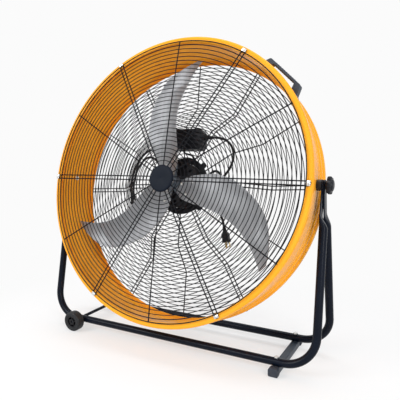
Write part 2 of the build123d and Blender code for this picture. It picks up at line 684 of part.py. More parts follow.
STATIONS = (                                       # height, middle line's x and depth, pitch
    (14, -1, ROOT_MID, ROOT_PITCH), (ROOT_TOP, -8, ROOT_MID, ROOT_PITCH), (up(120), -22, -36, 10),
    (up(200), -26, -32, 4), (up(280), 9, -24, 2), (up(365), 92, -18, 2),
)
LEAD_EDGE = (
    (-22, 24), (-42, 44), (-62, 81), (-75, 119), (-79.5, 162), (-70, 209), (-53, 254.5),
    (-19, 299.5), (30.5, 328.5), (78, 344),
)
TRAIL_EDGE = (
    (99, 338), (82, 319.5), (61, 293.5), (39, 257), (24.5, 218.5), (18.5, 179), (19, 139),
    (25, 97), (27, 53.5), (9, 20.5),
)


def camber(height, middle, depth, pitch, back, thick):
    """Curved strip across the blade at one height; back is its distance behind the blade's front."""
    turn = radians(-90 - pitch)
    centre_x = middle + CAMBER_R * cos(turn)
    centre_y = depth + CAMBER_R * sin(turn)
    spread = 2 * asin(84 / CAMBER_R)
    angles = [turn + pi + spread * (k / FLATS - 0.5) for k in range(FLATS + 1)]
    front_r, back_r = CAMBER_R + back, CAMBER_R + back + thick
    front = [(centre_x + front_r * cos(a), centre_y + front_r * sin(a)) for a in angles]
    rear = [(centre_x + back_r * cos(a), centre_y + back_r * sin(a)) for a in reversed(angles)]
    with BuildSketch(Plane.XY.offset(height), mode=Mode.PRIVATE) as strip:
        Polygon(*front, *rear, align=None)
    return strip.sketch


def rivet_plane(x, z):
    """Plane on the blade's front surface at a rivet, looking forward."""
    middle = -1 - 7 * (z - 14) / 46
    turn = radians(-90 - ROOT_PITCH)
    cx = middle + CAMBER_R * cos(turn)
    cy = ROOT_MID + CAMBER_R * sin(turn)
    dy = sqrt(CAMBER_R**2 - (x - cx) ** 2)
    return Plane((x, cy + dy, z), z_dir=((cx - x) / CAMBER_R, -dy / CAMBER_R, 0))


RIVETS = [(27 * sin(radians(-14)), 27 * cos(radians(-14))),
          (58 * sin(radians(-26)), 58 * cos(radians(-26))),
          (61 * sin(radians(12)), 61 * cos(radians(12)))]

with BuildPart() as blade:
    for station in STATIONS:
        add(camber(*station, 0, BLADE_T))
    loft(ruled=True)
    with BuildSketch(facing(-150)):
        with BuildLine():
            lead = Spline(*[(x, up(z)) for x, z in LEAD_EDGE])
            trail = Spline(*[(x, up(z)) for x, z in TRAIL_EDGE])
            Line(lead @ 1, trail @ 0)
            Line(trail @ 1, lead @ 0)
        make_face()
    extrude(amount=-200, mode=Mode.INTERSECT)
    for x, z in RIVETS:
        with BuildSketch(rivet_plane(x, z).offset(8)):
            RegularPolygon(2.6, 6)
        extrude(amount=-20, mode=Mode.SUBTRACT)
blade_solid = blade.part.solid()
LEAD_TURN = -8.0
for k in range(3):
    finish(Part() + clock(LEAD_TURN + 120 * k) * blade_solid, "blade_" + str(k + 1), in_drum)

SPIDER_T = 3.0
with BuildPart() as one_arm:
    for station in STATIONS[:3]:
        add(camber(*station, BLADE_T + 2 * SEAT, SPIDER_T))
    loft(ruled=True)
    with BuildSketch(facing(-150)):
        Polygon((-16, 15), (-36, 52), (-32, 68), (0, 76), (20, 70), (24, 48), (16, 15), align=None)
    extrude(amount=-200, mode=Mode.INTERSECT)
    for x, z in RIVETS:
        with BuildSketch(rivet_plane(x, z).offset(8)):
            RegularPolygon(2.6, 6)
        extrude(amount=-20, mode=Mode.SUBTRACT)
with BuildPart() as spider:
    with BuildSketch(facing(HUB_FRONT)):
        RegularPolygon(19, ROUND)
    extrude(amount=HUB_FRONT - HUB_BACK)
    for k in range(3):
        add(clock(LEAD_TURN + 120 * k) * one_arm.part)
    with BuildSketch(facing(HUB_FRONT - 5)):
        RegularPolygon(bore(SHAFT_R + SEAT), ROUND)
    extrude(amount=-60, mode=Mode.SUBTRACT)
finish(spider.part, "blade_spider", in_drum)

RIVET_GAP = 0.9                                    # heads bridge the flats of the camber
with BuildPart() as rivet_set:
    for x, z in RIVETS:
        seat = rivet_plane(x, z)
        with BuildSketch(seat.offset(RIVET_GAP)):
            RegularPolygon(4.2, 6)
        extrude(amount=1.8)
        with BuildSketch(seat.offset(1)):
            RegularPolygon(2.4, 6)
        extrude(amount=-(BLADE_T + SPIDER_T + 2))
        with BuildSketch(seat.offset(-(BLADE_T + 2 * SEAT + SPIDER_T + SEAT))):
            RegularPolygon(4, 6)
        extrude(amount=-1.2)
rivets = Compound([clock(LEAD_TURN + 120 * k) * s for k in range(3) for s in rivet_set.part.solids()])
finish(rivets, "blade_rivets", in_drum)

with BuildPart() as hub_nut:
    with BuildSketch(facing(HUB_FRONT - SEAT)):
        RegularPolygon(12.5, 6)
        RegularPolygon(SHAFT_R + 0.6, ROUND // 2, mode=Mode.SUBTRACT)
    extrude(amount=8)
finish(hub_nut.part, "hub_nut", in_drum)

# ==== control box ================================================================================
BOX_Y = PLATE_Y
BOX_DEEP = 29.0
BOX_SIDE = 48.0
GLAND = (BOX_Y + 17, 146.0)                        # depth and height of the cord gland
LEAD_X = -18.0
LEAD_R = 3.0
COVER_T = 3.0
BOX_OUTLINE = [(-57, 122), (-50, 109), (34, 109), (BOX_SIDE, 116), (BOX_SIDE, 156), (38, 170), (-47, 170),
               (-57, 160)]
COVER_SCREWS = [(-47, 162), (36, 162), (-45, 117), (34, 117)]
with BuildPart() as box:
    with BuildSketch(facing(BOX_Y)):
        Polygon(*BOX_OUTLINE, align=None)
    extrude(amount=-BOX_DEEP)
    with BuildSketch(facing(BOX_Y + 2.5)) as cavity:
        Polygon(*BOX_OUTLINE, align=None)
        offset(amount=-2.5, kind=Kind.INTERSECTION, mode=Mode.REPLACE)
    extrude(amount=-BOX_DEEP, mode=Mode.SUBTRACT)
    # corner posts for the cover screws
    with BuildSketch(facing(BOX_Y + 2)):
        with Locations(*COVER_SCREWS):
            RegularPolygon(4.5, SMALL)
            RegularPolygon(1.7, SMALL, mode=Mode.SUBTRACT)
    extrude(amount=-(BOX_DEEP - 2))
    # holes for the cord gland and the motor lead
    with BuildSketch(Plane.YZ.offset(30)):
        with Locations(GLAND):
            RegularPolygon(5 + 2 * SEAT, SMALL)
    extrude(amount=30, mode=Mode.SUBTRACT)
    with BuildSketch(Plane.XY.offset(100)):
        with Locations((LEAD_X, BOX_Y + 15)):
            RegularPolygon(LEAD_R + 0.5, SMALL)
    extrude(amount=20, mode=Mode.SUBTRACT)
finish(box.part, "control_box", in_drum)

COVER_Y = BOX_Y + BOX_DEEP + SEAT
SWITCH = (-4.0, 140.0)
with BuildPart() as cover:
    with BuildSketch(facing(COVER_Y)):
        Polygon(*BOX_OUTLINE, align=None)
        with Locations(*COVER_SCREWS):
            RegularPolygon(1.9, SMALL, mode=Mode.SUBTRACT)
        with Locations(SWITCH):
            RegularPolygon(5 + 2 * SEAT, SMALL, mode=Mode.SUBTRACT)
    extrude(amount=-COVER_T)
finish(cover.part, "control_box_cover", in_drum)

with BuildPart() as cover_screws:
    with BuildSketch(facing(COVER_Y + COVER_T + SEAT)):
        with Locations(*COVER_SCREWS):
            RegularPolygon(3.4, SMALL)
    extrude(amount=-2)
    with BuildSketch(facing(COVER_Y - 12)):
        with Locations(*COVER_SCREWS):
            RegularPolygon(1.5, SMALL)
    extrude(amount=-(COVER_T + 13))
finish(cover_screws.part, "control_box_screws", in_drum)

# rotary switch: body inside the box, knob with a pointer rib behind the cover
with BuildPart() as switch:
    with BuildSketch(facing(COVER_Y - 20)):
        with Locations(SWITCH):
            Rectangle(26, 26)
    extrude(amount=-(20 - SEAT))
    with BuildSketch(facing(COVER_Y - 1)):
        with Locations(SWITCH):
            RegularPolygon(5, SMALL)
    extrude(amount=-(COVER_T + 1))
    with BuildSketch(facing(COVER_Y + COVER_T - 1)):
        with Locations(SWITCH):
            RegularPolygon(3, FINE)
    extrude(amount=-9)
finish(switch.part, "speed_switch", in_drum)

with BuildPart() as speed_knob:
    with BuildSketch(facing(COVER_Y + COVER_T + 0.3)):
        with Locations(SWITCH):
            RegularPolygon(14, ROUND)
    extrude(amount=-5)
    with BuildSketch(facing(COVER_Y + COVER_T + 5)):
        with Locations(SWITCH):
            Rectangle(7, 26)
    extrude(amount=-9)
    with BuildSketch(facing(COVER_Y + COVER_T)):
        with Locations(SWITCH):
            RegularPolygon(bore(3 + RUN), FINE)
    extrude(amount=-9.5, mode=Mode.SUBTRACT)
finish(speed_knob.part, "speed_knob", in_drum)

# ==== leads ======================================================================================
# motor lead: from the box's underside to the rear bell
with BuildPart() as lead:
    with BuildLine() as lead_path:
        Polyline(
            (LEAD_X, BOX_Y + 15, 111), (LEAD_X, BOX_Y + 15, 96), (LEAD_X + 3, BOX_Y + 20, 82),
            (LEAD_X + 4, BARREL_BACK - 8, 77), (LEAD_X + 4, BARREL_BACK - 8, MOTOR_R + 0.2),
        )
    with BuildSketch(Plane(lead_path.line @ 0, z_dir=lead_path.line % 0)):
        RegularPolygon(LEAD_R, SMALL)
    sweep(transition=Transition.RIGHT)
finish(lead.part, "motor_lead", in_drum)

# strain relief of the power cord, ribless taper with a flange against the box
CORD_R = 3.5
CORD_SIDES = 5
GLAND_LEN = 26.0
with BuildPart() as gland:
    with BuildSketch(Plane.YZ.offset(BOX_SIDE - 4)):
        with Locations(GLAND):
            RegularPolygon(5, SMALL)
    extrude(amount=6)
    with BuildSketch(Plane.YZ.offset(BOX_SIDE + SEAT)):
        with Locations(GLAND):
            RegularPolygon(8, SMALL)
    extrude(amount=3)
    with BuildSketch(Plane.YZ.offset(BOX_SIDE + 3)):
        with Locations(GLAND):
            RegularPolygon(6.5, SMALL)
    extrude(amount=GLAND_LEN - 3)
    tip = gland.faces().sort_by(Axis.X)[-1]
    chamfer(tip.edges(), 1.6, 12, reference=tip)
finish(gland.part, "cord_gland", in_drum)

# power cord, 7 mm, tucked into the dish: out of the box to the right, behind the motor, twice
# round on the left, back behind the motor and down to the plug on the right
CORD_ROUTE = [
    (BOX_SIDE + GLAND_LEN, *GLAND),
    (BOX_SIDE + GLAND_LEN + 24, *GLAND),
    (126, 46, 132),
    (140, 50, 102),
    (134, 54, 68),
    (112, 61, 38),
    (78, 70, 14),
    (32, 75, 4),
    (-20, 76, 8),
    (-76, 72, 40),
    (-106, 66, 86),
    (-148, 64, 126),
    (-192, 63, 92),
    (-212, 62, 38),
    (-212, 62, -18),
    (-194, 60, -74),
    (-148, 57, -104),
    (-100, 53, -78),
    (-82, 50, -24),
    (-92, 50, 34),
    (-116, 52, 84),
    (-160, 54, 96),
    (-192, 55, 54),
    (-200, 55, 4),
    (-192, 56, -44),
    (-158, 60, -74),
    (-108, 66, -60),
    (-62, 72, -30),
    (-14, 76, -16),
    (30, 75, 10),
    (56, 68, 42),
    (82, 61, 56),
    (102, 58, 42),
    (108, 57, 12),
    (102, 58, -24),
    (103, 61, -58),
    (117, 67, -84),
    (123, 69, -106),
]
PLUG_TOP = CORD_ROUTE[-1]


def run(k):
    return Vector(*CORD_ROUTE[k + 1]) - Vector(*CORD_ROUTE[k])


cord_radii = [
    0.45 * min(run(k).length, run(k + 1).length) / tan(radians(run(k).get_angle(run(k + 1))) / 2)
    for k in range(len(CORD_ROUTE) - 2)
]
print("cord radii", [round(r) for r in cord_radii])
print("cord turns", [round(run(k).get_angle(run(k + 1))) for k in range(len(CORD_ROUTE) - 2)])
print("cord runs", [round(run(k).length) for k in range(len(CORD_ROUTE) - 1)])
with BuildPart() as cord:
    with BuildLine() as cord_path:
        FilletPolyline(*CORD_ROUTE, radius=cord_radii)
    with BuildSketch(Plane(cord_path.line @ 0, z_dir=cord_path.line % 0)):
        RegularPolygon(CORD_R, CORD_SIDES)
    sweep()
section = CORD_SIDES / 2 * sin(2 * pi / CORD_SIDES) * CORD_R**2
cord_length = cord_path.wires()[0].length
print("cord length", round(cord_length), "volume over section times length",
      round(cord.part.volume / (section * cord_length), 3))
finish(cord.part, "power_cord", in_drum)

# plug on the cord's end, hanging, with three pins
with BuildPart() as plug:
    top = Plane(origin=PLUG_TOP, z_dir=cord_path.line % 1, x_dir=(0, 1, 0))
    with BuildSketch(top):
        RegularPolygon(6, SMALL)
    extrude(amount=19)
    with BuildSketch(top.offset(18)):
        Rectangle(26, 22)
    extrude(amount=28)
    chamfer(plug.edges().group_by(Edge.length)[-1], 4)
finish(plug.part, "plug", in_drum)

with BuildPart() as pins:
    with BuildSketch(top.offset(46)):
        with Locations((4, 6), (4, -6)):
            Rectangle(6.3, 1.6)
        with Locations((-6, 0)):
            RegularPolygon(2.4, SMALL)
    extrude(amount=17)
finish(pins.part, "plug_pins", in_drum)
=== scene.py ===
# %% [markdown]
# # A drum fan on a tube stand
#
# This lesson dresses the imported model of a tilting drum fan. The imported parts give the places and
# sizes, and the camera, colours and lamps are matched to the photograph. What repeats, such as the
# wires of the guards, comes from Geometry Nodes. Turned pieces are lathed from a profile, and plates
# are cut from an outline and given a small bevel, because real edges are never perfectly sharp and
# catch a line of light.

# %% Start: load the fixed frame
import math

import bmesh
import bpy
from mathutils import Matrix, Vector


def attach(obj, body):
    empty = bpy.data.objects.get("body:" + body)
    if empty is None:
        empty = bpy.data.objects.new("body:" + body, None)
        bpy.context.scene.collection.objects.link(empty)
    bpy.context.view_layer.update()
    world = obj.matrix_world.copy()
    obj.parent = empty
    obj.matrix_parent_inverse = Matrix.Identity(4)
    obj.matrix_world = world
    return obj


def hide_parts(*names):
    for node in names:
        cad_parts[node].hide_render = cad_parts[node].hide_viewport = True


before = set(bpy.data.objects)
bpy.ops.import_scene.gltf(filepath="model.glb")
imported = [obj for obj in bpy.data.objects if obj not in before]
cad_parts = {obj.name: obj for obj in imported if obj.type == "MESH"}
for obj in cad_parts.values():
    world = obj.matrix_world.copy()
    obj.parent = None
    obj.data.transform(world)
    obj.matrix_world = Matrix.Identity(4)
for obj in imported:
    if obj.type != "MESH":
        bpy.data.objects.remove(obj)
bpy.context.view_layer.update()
print("nodes:", len(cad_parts))

# %% [markdown]
# ## The camera
#
# The photograph was taken a little above the fan, from its right-hand front. The lens, the shift
# and the small roll below put the model's rims where they are in the picture.

# %% Camera
DRUM_CENTRE = Vector((0.0, 0.001344, 0.460954))
CAMERA_FROM_DRUM = Vector((0.6593, -1.1349, 0.1058))
YAW, PITCH, ROLL = math.radians(29.82), math.radians(-9.10), math.radians(-0.75)


def linked(name, data):
    """A new object of the scene that shows data."""
    thing = bpy.data.objects.new(name, data)
    bpy.context.scene.collection.objects.link(thing)
    return thing


lens = bpy.data.cameras.new("photo_camera")
lens.lens = 41.105
lens.sensor_width = 36.0
lens.shift_x = 0.0446
lens.shift_y = 0.0509
lens.clip_start = 0.05
camera = linked("photo_camera", lens)
look = Matrix.Rotation(YAW, 4, "Z") @ Matrix.Rotation(math.radians(90) + PITCH, 4, "X")
camera.matrix_world = (
    Matrix.Translation(DRUM_CENTRE + CAMERA_FROM_DRUM) @ look @ Matrix.Rotation(ROLL, 4, "Z")
)
bpy.context.scene.camera = camera
print("camera at", [round(v, 3) for v in camera.location])

# %% [markdown]
# ## The two working frames
#
# Pieces are drawn in millimetres, those of the stand on the floor, those of the drum in the drum's
# own untilted frame with its axis along Y. One matrix takes each to its place, and the finished
# mesh holds that place itself, with its object at the origin. The rear guard is turned a little on
# the drum's axis.

# %% Working frames
REST_TILT = 14.26
PIVOT_HEIGHT = 470.9
PIVOT_OFF = Vector((0, -2.45, 9.64))               # pivot from the drum's middle, untilted
SHIFT_Y = 1.344
MM = Matrix.Scale(0.001, 4)
STAND = MM @ Matrix.Translation((0, SHIFT_Y, 0))
DRUM = (
    MM
    @ Matrix.Translation((0, SHIFT_Y, PIVOT_HEIGHT))
    @ Matrix.Rotation(math.radians(-REST_TILT), 4, "X")
    @ Matrix.Translation(-PIVOT_OFF)
)
HALF_TURN = Matrix.Rotation(math.pi, 4, "Z")             # front to back and side to side
BOTH_ENDS = (Matrix.Identity(4), HALF_TURN)
ALONG_X = Matrix.Rotation(math.radians(-90), 4, "Z")     # takes +Y to +X


def clock(angle):
    """Turn about the drum's axis, clockwise from the front, zero at the top."""
    return Matrix.Rotation(math.radians(angle), 4, "Y")


REAR = DRUM @ clock(-2.6)
print("pivot height in mm:", PIVOT_HEIGHT)

# %% [markdown]
# ## The power cord
#
# A flexible cord is one smooth line. A NURBS spline with the route's points as its controls rounds
# every corner by itself, as a real cord does.

# %% Power cord
CORD_POINTS = [
    (74, 38.8, 146), (98, 38.8, 146), (126, 46, 132), (140, 50, 102), (134, 54, 68),
    (112, 61, 38), (78, 70, 14), (32, 75, 4), (-20, 76, 8), (-76, 72, 40), (-106, 66, 86),
    (-148, 64, 126), (-192, 63, 92), (-212, 62, 38), (-212, 62, -18), (-194, 60, -74),
    (-148, 57, -104), (-100, 53, -78), (-82, 50, -24), (-92, 50, 34), (-116, 52, 84),
    (-160, 54, 96), (-192, 55, 54), (-200, 55, 4), (-192, 56, -44), (-158, 60, -74),
    (-108, 66, -60), (-62, 72, -30), (-14, 76, -16), (30, 75, 10), (56, 68, 42), (82, 61, 56),
    (102, 58, 42), (108, 57, 12), (102, 58, -24), (103, 61, -58), (117, 67, -84), (123, 69, -106),
]
CORD_R = 0.0035


def smooth_cord(name, points, radius, resolution=12):
    """A round cord as a live curve, smooth by its NURBS spline."""
    line = bpy.data.curves.new(name, "CURVE")
    line.dimensions = "3D"
    spline = line.splines.new("NURBS")
    spline.points.add(len(points) - 1)
    for point, spot in zip(spline.points, points):
        point.co = (*spot, 1.0)
    spline.order_u = 3
    spline.use_endpoint_u = True
    spline.resolution_u = resolution
    line.bevel_depth = radius
    line.bevel_resolution = 4
    return linked(name, line)


cord_route = [DRUM @ Vector(spot) for spot in CORD_POINTS]
cord = smooth_cord("power_cord_curve", cord_route, CORD_R, resolution=8)
print("cord points:", len(CORD_POINTS))

# %% [markdown]
# ## Finishes
#
# One helper builds every finish: a base colour that wanders slightly between two tones, a bump for
# the surface's grain, and a roughness that varies with it. What is uniform is set on the shader's
# own sockets. The same `step` helper adds the nodes of every tree in this lesson.

# %% Material helper


def shader(material):
    return material.node_tree.nodes["Principled BSDF"]


def step(tree, kind, inputs=(), **settings):
    """Add a node; inputs are (socket, value or output to link)."""
    added = tree.nodes.new(kind)
    for key, value in settings.items():
        setattr(added, key, value)
    for key, value in inputs:
        if isinstance(value, bpy.types.NodeSocket):
            tree.links.new(value, added.inputs[key])
        else:
            added.inputs[key].default_value = value
    return added


def surface(
    name, dark, light, tone_scale, rough, grain_scale, grain_depth, metallic=0.0, stretch=(1, 1, 1),
    specular=0.5,
):
    """A procedural finish; scales are per metre, depths in metres."""
    material = bpy.data.materials.new(name)
    material.use_nodes = True
    tree, bsdf = material.node_tree, shader(material)
    bsdf.inputs["Metallic"].default_value = metallic
    bsdf.inputs["Specular IOR Level"].default_value = specular
    place = step(tree, "ShaderNodeTexCoord").outputs["Object"]
    turn = step(tree, "ShaderNodeMapping", (("Scale", stretch), ("Vector", place))).outputs["Vector"]

    tone = step(tree, "ShaderNodeTexNoise", (
        ("Scale", tone_scale), ("Detail", 3.0), ("Vector", turn),
    )).outputs["Fac"]
    ramp = step(tree, "ShaderNodeValToRGB", (("Fac", tone),))
    for stop, position, colour in zip(ramp.color_ramp.elements, (0.35, 0.65), (dark, light)):
        stop.position = position
        stop.color = (*colour, 1)
    tree.links.new(ramp.outputs["Color"], bsdf.inputs["Base Color"])

    grain = step(tree, "ShaderNodeTexNoise", (
        ("Scale", grain_scale), ("Detail", 2.0), ("Vector", turn),
    )).outputs["Fac"]
    bump = step(tree, "ShaderNodeBump", (
        ("Distance", grain_depth), ("Strength", 1.0), ("Height", grain),
    ))
    tree.links.new(bump.outputs["Normal"], bsdf.inputs["Normal"])
    spread = step(tree, "ShaderNodeMapRange", (
        ("To Min", rough * 0.8), ("To Max", rough * 1.25), ("Value", grain),
    ))
    tree.links.new(spread.outputs["Result"], bsdf.inputs["Roughness"])
    return material


# %% Metals and paints
enamel = surface(
    "yellow_enamel", (0.95, 0.385, 0.026), (0.98, 0.42, 0.032), 9.0, 0.16, 420.0, 0.00001,
    specular=0.03,
)
powder_black = surface(
    "black_powder_coat", (0.003, 0.005, 0.011), (0.005, 0.008, 0.016), 14.0, 0.26, 900.0, 0.00003,
    specular=0.11,
)
wire_black = surface(
    "dipped_wire", (0.004, 0.005, 0.007), (0.007, 0.008, 0.011), 40.0, 0.42, 700.0, 0.00003,
    specular=0.12,
)
cap_black = surface(
    "cap_paint", (0.004, 0.007, 0.013), (0.006, 0.009, 0.016), 30.0, 0.46, 900.0, 0.00002,
    specular=0.08,
)
motor_black = surface(
    "motor_paint", (0.006, 0.006, 0.008), (0.010, 0.010, 0.012), 25.0, 0.46, 800.0, 0.00005,
    specular=0.18,
)
zinc = surface(
    "bright_zinc", (0.55, 0.55, 0.54), (0.72, 0.72, 0.70), 160.0, 0.32, 1200.0, 0.00003,
    metallic=1.0,
)
ground_steel = surface(
    "ground_steel", (0.50, 0.50, 0.51), (0.62, 0.62, 0.62), 120.0, 0.26, 1500.0, 0.00002,
    metallic=1.0, stretch=(1, 12, 1),
)
blade_metal = surface(
    "mill_aluminium", (0.24, 0.245, 0.255), (0.29, 0.295, 0.305), 22.0, 0.44, 240.0, 0.00002,
    metallic=0.6, stretch=(6, 1, 1),
)
spider_paint = surface(
    "spider_paint", (0.085, 0.105, 0.130), (0.11, 0.130, 0.155), 40.0, 0.45, 900.0, 0.00004,
)
brass = surface(
    "plain_brass", (0.66, 0.47, 0.20), (0.78, 0.58, 0.28), 200.0, 0.28, 1500.0, 0.00001,
    metallic=1.0,
)
print("metals and paints: 10")

# %% Rubber and plastics
tyre_rubber = surface(
    "tyre_rubber", (0.009, 0.010, 0.012), (0.015, 0.016, 0.018), 60.0, 0.5, 900.0, 0.00012,
    specular=0.3,
)
block_rubber = surface(
    "block_rubber", (0.024, 0.030, 0.042), (0.034, 0.041, 0.056), 50.0, 0.58, 900.0, 0.00008,
    specular=0.3,
)
pad_rubber = surface(
    "pad_rubber", (0.010, 0.010, 0.010), (0.016, 0.016, 0.016), 60.0, 0.70, 700.0, 0.00010,
    specular=0.25,
)
wheel_plastic = surface(
    "wheel_plastic", (0.009, 0.009, 0.011), (0.014, 0.014, 0.016), 60.0, 0.44, 1100.0, 0.00004,
    specular=0.3,
)
knob_plastic = surface(
    "knob_plastic", (0.007, 0.008, 0.012), (0.011, 0.013, 0.018), 60.0, 0.38, 1300.0, 0.00004,
    specular=0.2,
)
slate_plastic = surface(
    "slate_plastic", (0.026, 0.036, 0.052), (0.036, 0.048, 0.068), 50.0, 0.46, 1500.0, 0.00008,
    specular=0.35,
)
box_plastic = surface(
    "box_plastic", (0.010, 0.010, 0.013), (0.016, 0.016, 0.020), 50.0, 0.46, 1600.0, 0.00009,
    specular=0.2,
)
cord_sheath = surface(
    "cord_sheath", (0.007, 0.007, 0.009), (0.012, 0.012, 0.014), 80.0, 0.50, 900.0, 0.00005,
    specular=0.25,
)
print("rubber and plastics: 8")

# %% [markdown]
# ## Pieces
#
# Each piece is a plain mesh at the origin. The helper below moves a mesh to its place, gives it
# its finish, hangs it on the empty of the body it rides on, and hides the imported nodes it stands for.

# %% Piece helper
made = {}


def piece(name, mesh, place, material, body, stands_for=(), sharp=35.0):
    """Link a finished mesh, in its place, as one piece of the fan."""
    mesh.transform(place)
    mesh.name = name
    mesh.materials.clear()
    mesh.materials.append(material)
    shell = bmesh.new()
    shell.from_mesh(mesh)
    for face in shell.faces:
        face.smooth = True
        face.material_index = 0
    for edge in shell.edges:
        edge.smooth = edge.calc_face_angle(0.0) < math.radians(sharp)
    shell.to_mesh(mesh)
    shell.free()
    thing = linked(name, mesh)
    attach(thing, body)
    if stands_for:
        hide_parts(*stands_for)
    made[name] = len(mesh.polygons)
    return thing


def plain(host):
    """What a host object shows, as a plain mesh; the host itself goes."""
    bpy.context.view_layer.update()
    graph = bpy.context.evaluated_depsgraph_get()
    result = bpy.data.meshes.new_from_object(host.evaluated_get(graph))
    host.modifiers.clear()
    bpy.data.objects.remove(host)
    return result


def settle(mesh, kind, **settings):
    """Apply one modifier to a mesh and return the plain result."""
    host = linked("host", mesh)
    modifier = host.modifiers.new(kind.lower(), kind)
    for key, value in settings.items():
        setattr(modifier, key, value)
    return plain(host)


def mesh_of(name, points, faces):
    """A mesh from points and faces, doubles merged and normals outwards."""
    mesh = bpy.data.meshes.new(name)
    mesh.from_pydata([tuple(p) for p in points], [], faces)
    shell = bmesh.new()
    shell.from_mesh(mesh)
    bmesh.ops.remove_doubles(shell, verts=shell.verts, dist=1e-5)
    bmesh.ops.recalc_face_normals(shell, faces=shell.faces)
    shell.to_mesh(mesh)
    shell.free()
    return mesh


def joined(*meshes):
    """Several meshes as one."""
    shell = bmesh.new()
    for mesh in meshes:
        shell.from_mesh(mesh)
    whole = bpy.data.meshes.new("joined")
    shell.to_mesh(whole)
    shell.free()
    return whole


def copies(mesh, *places):
    """One mesh repeated at each place."""
    shell = bmesh.new()
    for place in places:
        copy = mesh.copy()
        copy.transform(place)
        if place.determinant() < 0:
            copy.flip_normals()
        shell.from_mesh(copy)
    whole = bpy.data.meshes.new("copies")
    shell.to_mesh(whole)
    shell.free()
    return whole


# %% [markdown]
# ## Three ways to make a solid
#
# `lathed` turns a closed profile of (radius, depth) corners round the Y axis. `cut_plate` pushes
# an outline through a thickness and bevels its edges. `stacked` joins outlines of equal point
# count one above the other. `softened` first rounds the corners of a profile, and `cut` takes one
# solid away from another.

# %% Solid helpers


def softened(corners, radius, steps=4):
    """Round the corners of a closed outline by curves that start `radius` before each corner."""
    result = []
    for k, corner in enumerate(corners):
        here = Vector(corner)
        before, after = Vector(corners[k - 1]), Vector(corners[(k + 1) % len(corners)])
        reach = min(radius, (before - here).length * 0.45, (after - here).length * 0.45)
        start = here + (before - here).normalized() * reach
        end = here + (after - here).normalized() * reach
        for n in range(steps + 1):
            t = n / steps
            result.append(tuple(start * (1 - t) ** 2 + here * 2 * t * (1 - t) + end * t**2))
    return result


def lathed(profile, segments=96):
    """Revolve a closed (radius, depth) profile round the Y axis."""
    points, faces = [], []
    count = len(profile)
    for s in range(segments):
        a = 2 * math.pi * s / segments
        points += [(r * math.sin(a), y, r * math.cos(a)) for r, y in profile]
        here, there = s * count, (s + 1) % segments * count
        for k in range(count):
            n = (k + 1) % count
            faces.append((here + k, here + n, there + n, there + k))
    mesh = mesh_of("lathed", points, faces)
    shell = bmesh.new()
    shell.from_mesh(mesh)
    flat = [f for f in shell.faces if f.calc_area() < 1e-9]
    bmesh.ops.delete(shell, geom=flat, context="FACES")
    bmesh.ops.recalc_face_normals(shell, faces=shell.faces)
    shell.to_mesh(mesh)
    shell.free()
    return mesh


def stacked(outlines):
    """Join closed 3D outlines of equal length, with a cap at each end."""
    points, faces = [], []
    count = len(outlines[0])
    for outline in outlines:
        points += outline
    for level in range(len(outlines) - 1):
        for k in range(count):
            n = (k + 1) % count
            low, high = level * count, (level + 1) * count
            faces.append((low + k, low + n, high + n, high + k))
    faces.append(tuple(range(count)))
    faces.append(tuple(range((len(outlines) - 1) * count, len(outlines) * count)))
    return mesh_of("stacked", points, faces)


def cut_plate(outline, front, back, bevel=0.0, segments=3):
    """An (x, z) outline pushed from one depth to another, with bevelled edges."""
    mesh = stacked([[(x, y, z) for x, z in outline] for y in (front, back)])
    if bevel:
        mesh = settle(mesh, "BEVEL", width=bevel, segments=segments, limit_method="ANGLE",
                      angle_limit=math.radians(28))
    return mesh


def cut(mesh, cutter_mesh):
    """Take one closed mesh away from another."""
    cutter = linked("cutter", cutter_mesh)
    result = settle(mesh, "BOOLEAN", object=cutter, operation="DIFFERENCE", solver="EXACT",
                    use_self=True)
    bpy.data.objects.remove(cutter)
    return result


# %% Outline helpers


def oblong(low_x, low_z, high_x, high_z):
    """Corners of a rectangle between two opposite ones."""
    return [(low_x, low_z), (high_x, low_z), (high_x, high_z), (low_x, high_z)]


def circle(radius, count):
    """Corners of a regular outline."""
    turns = [2 * math.pi * k / count for k in range(count)]
    return [(radius * math.cos(a), radius * math.sin(a)) for a in turns]


def squarish(half_a, half_b, power, count=32):
    """Corners of a circle of two half sizes that grows square as power grows from 2."""
    return [
        (math.copysign(abs(c) ** (2 / power), c) * half_a,
         math.copysign(abs(s) ** (2 / power), s) * half_b)
        for c, s in circle(1.0, count)
    ]


# %% [markdown]
# ## Node trees for what repeats
#
# Wire guards are rings and spokes in a rule: the same circle at a shrinking radius, the same wire
# turned round the axis. Three small trees make all of them. The first puts a circle on each of a
# row of points and gives every circle its own radius, then sweeps a round section along it. The
# second turns one drawn wire round the axis. The third does the same with a solid, for clips,
# screws, slots, lugs, arms and rivets.

# %% Tree helpers


def new_tree(name, sizes):
    tree = bpy.data.node_groups.new(name, "GeometryNodeTree")
    tree.interface.new_socket("Geometry", in_out="INPUT", socket_type="NodeSocketGeometry")
    for label, kind in sizes:
        tree.interface.new_socket(label, in_out="INPUT", socket_type="NodeSocket" + kind)
    tree.interface.new_socket("Geometry", in_out="OUTPUT", socket_type="NodeSocketGeometry")
    return tree, tree.nodes.new("NodeGroupInput"), tree.nodes.new("NodeGroupOutput")


def maths(tree, operation, first, second=0.0):
    return step(tree, "ShaderNodeMath", ((0, first), (1, second)), operation=operation).outputs[0]


def run_tree(tree, mesh, values):
    """Run a tree on a mesh with values for its named inputs and return the plain result."""
    host = linked("host", mesh)
    modifier = host.modifiers.new(tree.name, "NODES")
    modifier.node_group = tree
    for item in tree.interface.items_tree:
        if item.in_out == "INPUT" and item.name in values:
            modifier[item.identifier] = values[item.name]
    return plain(host)


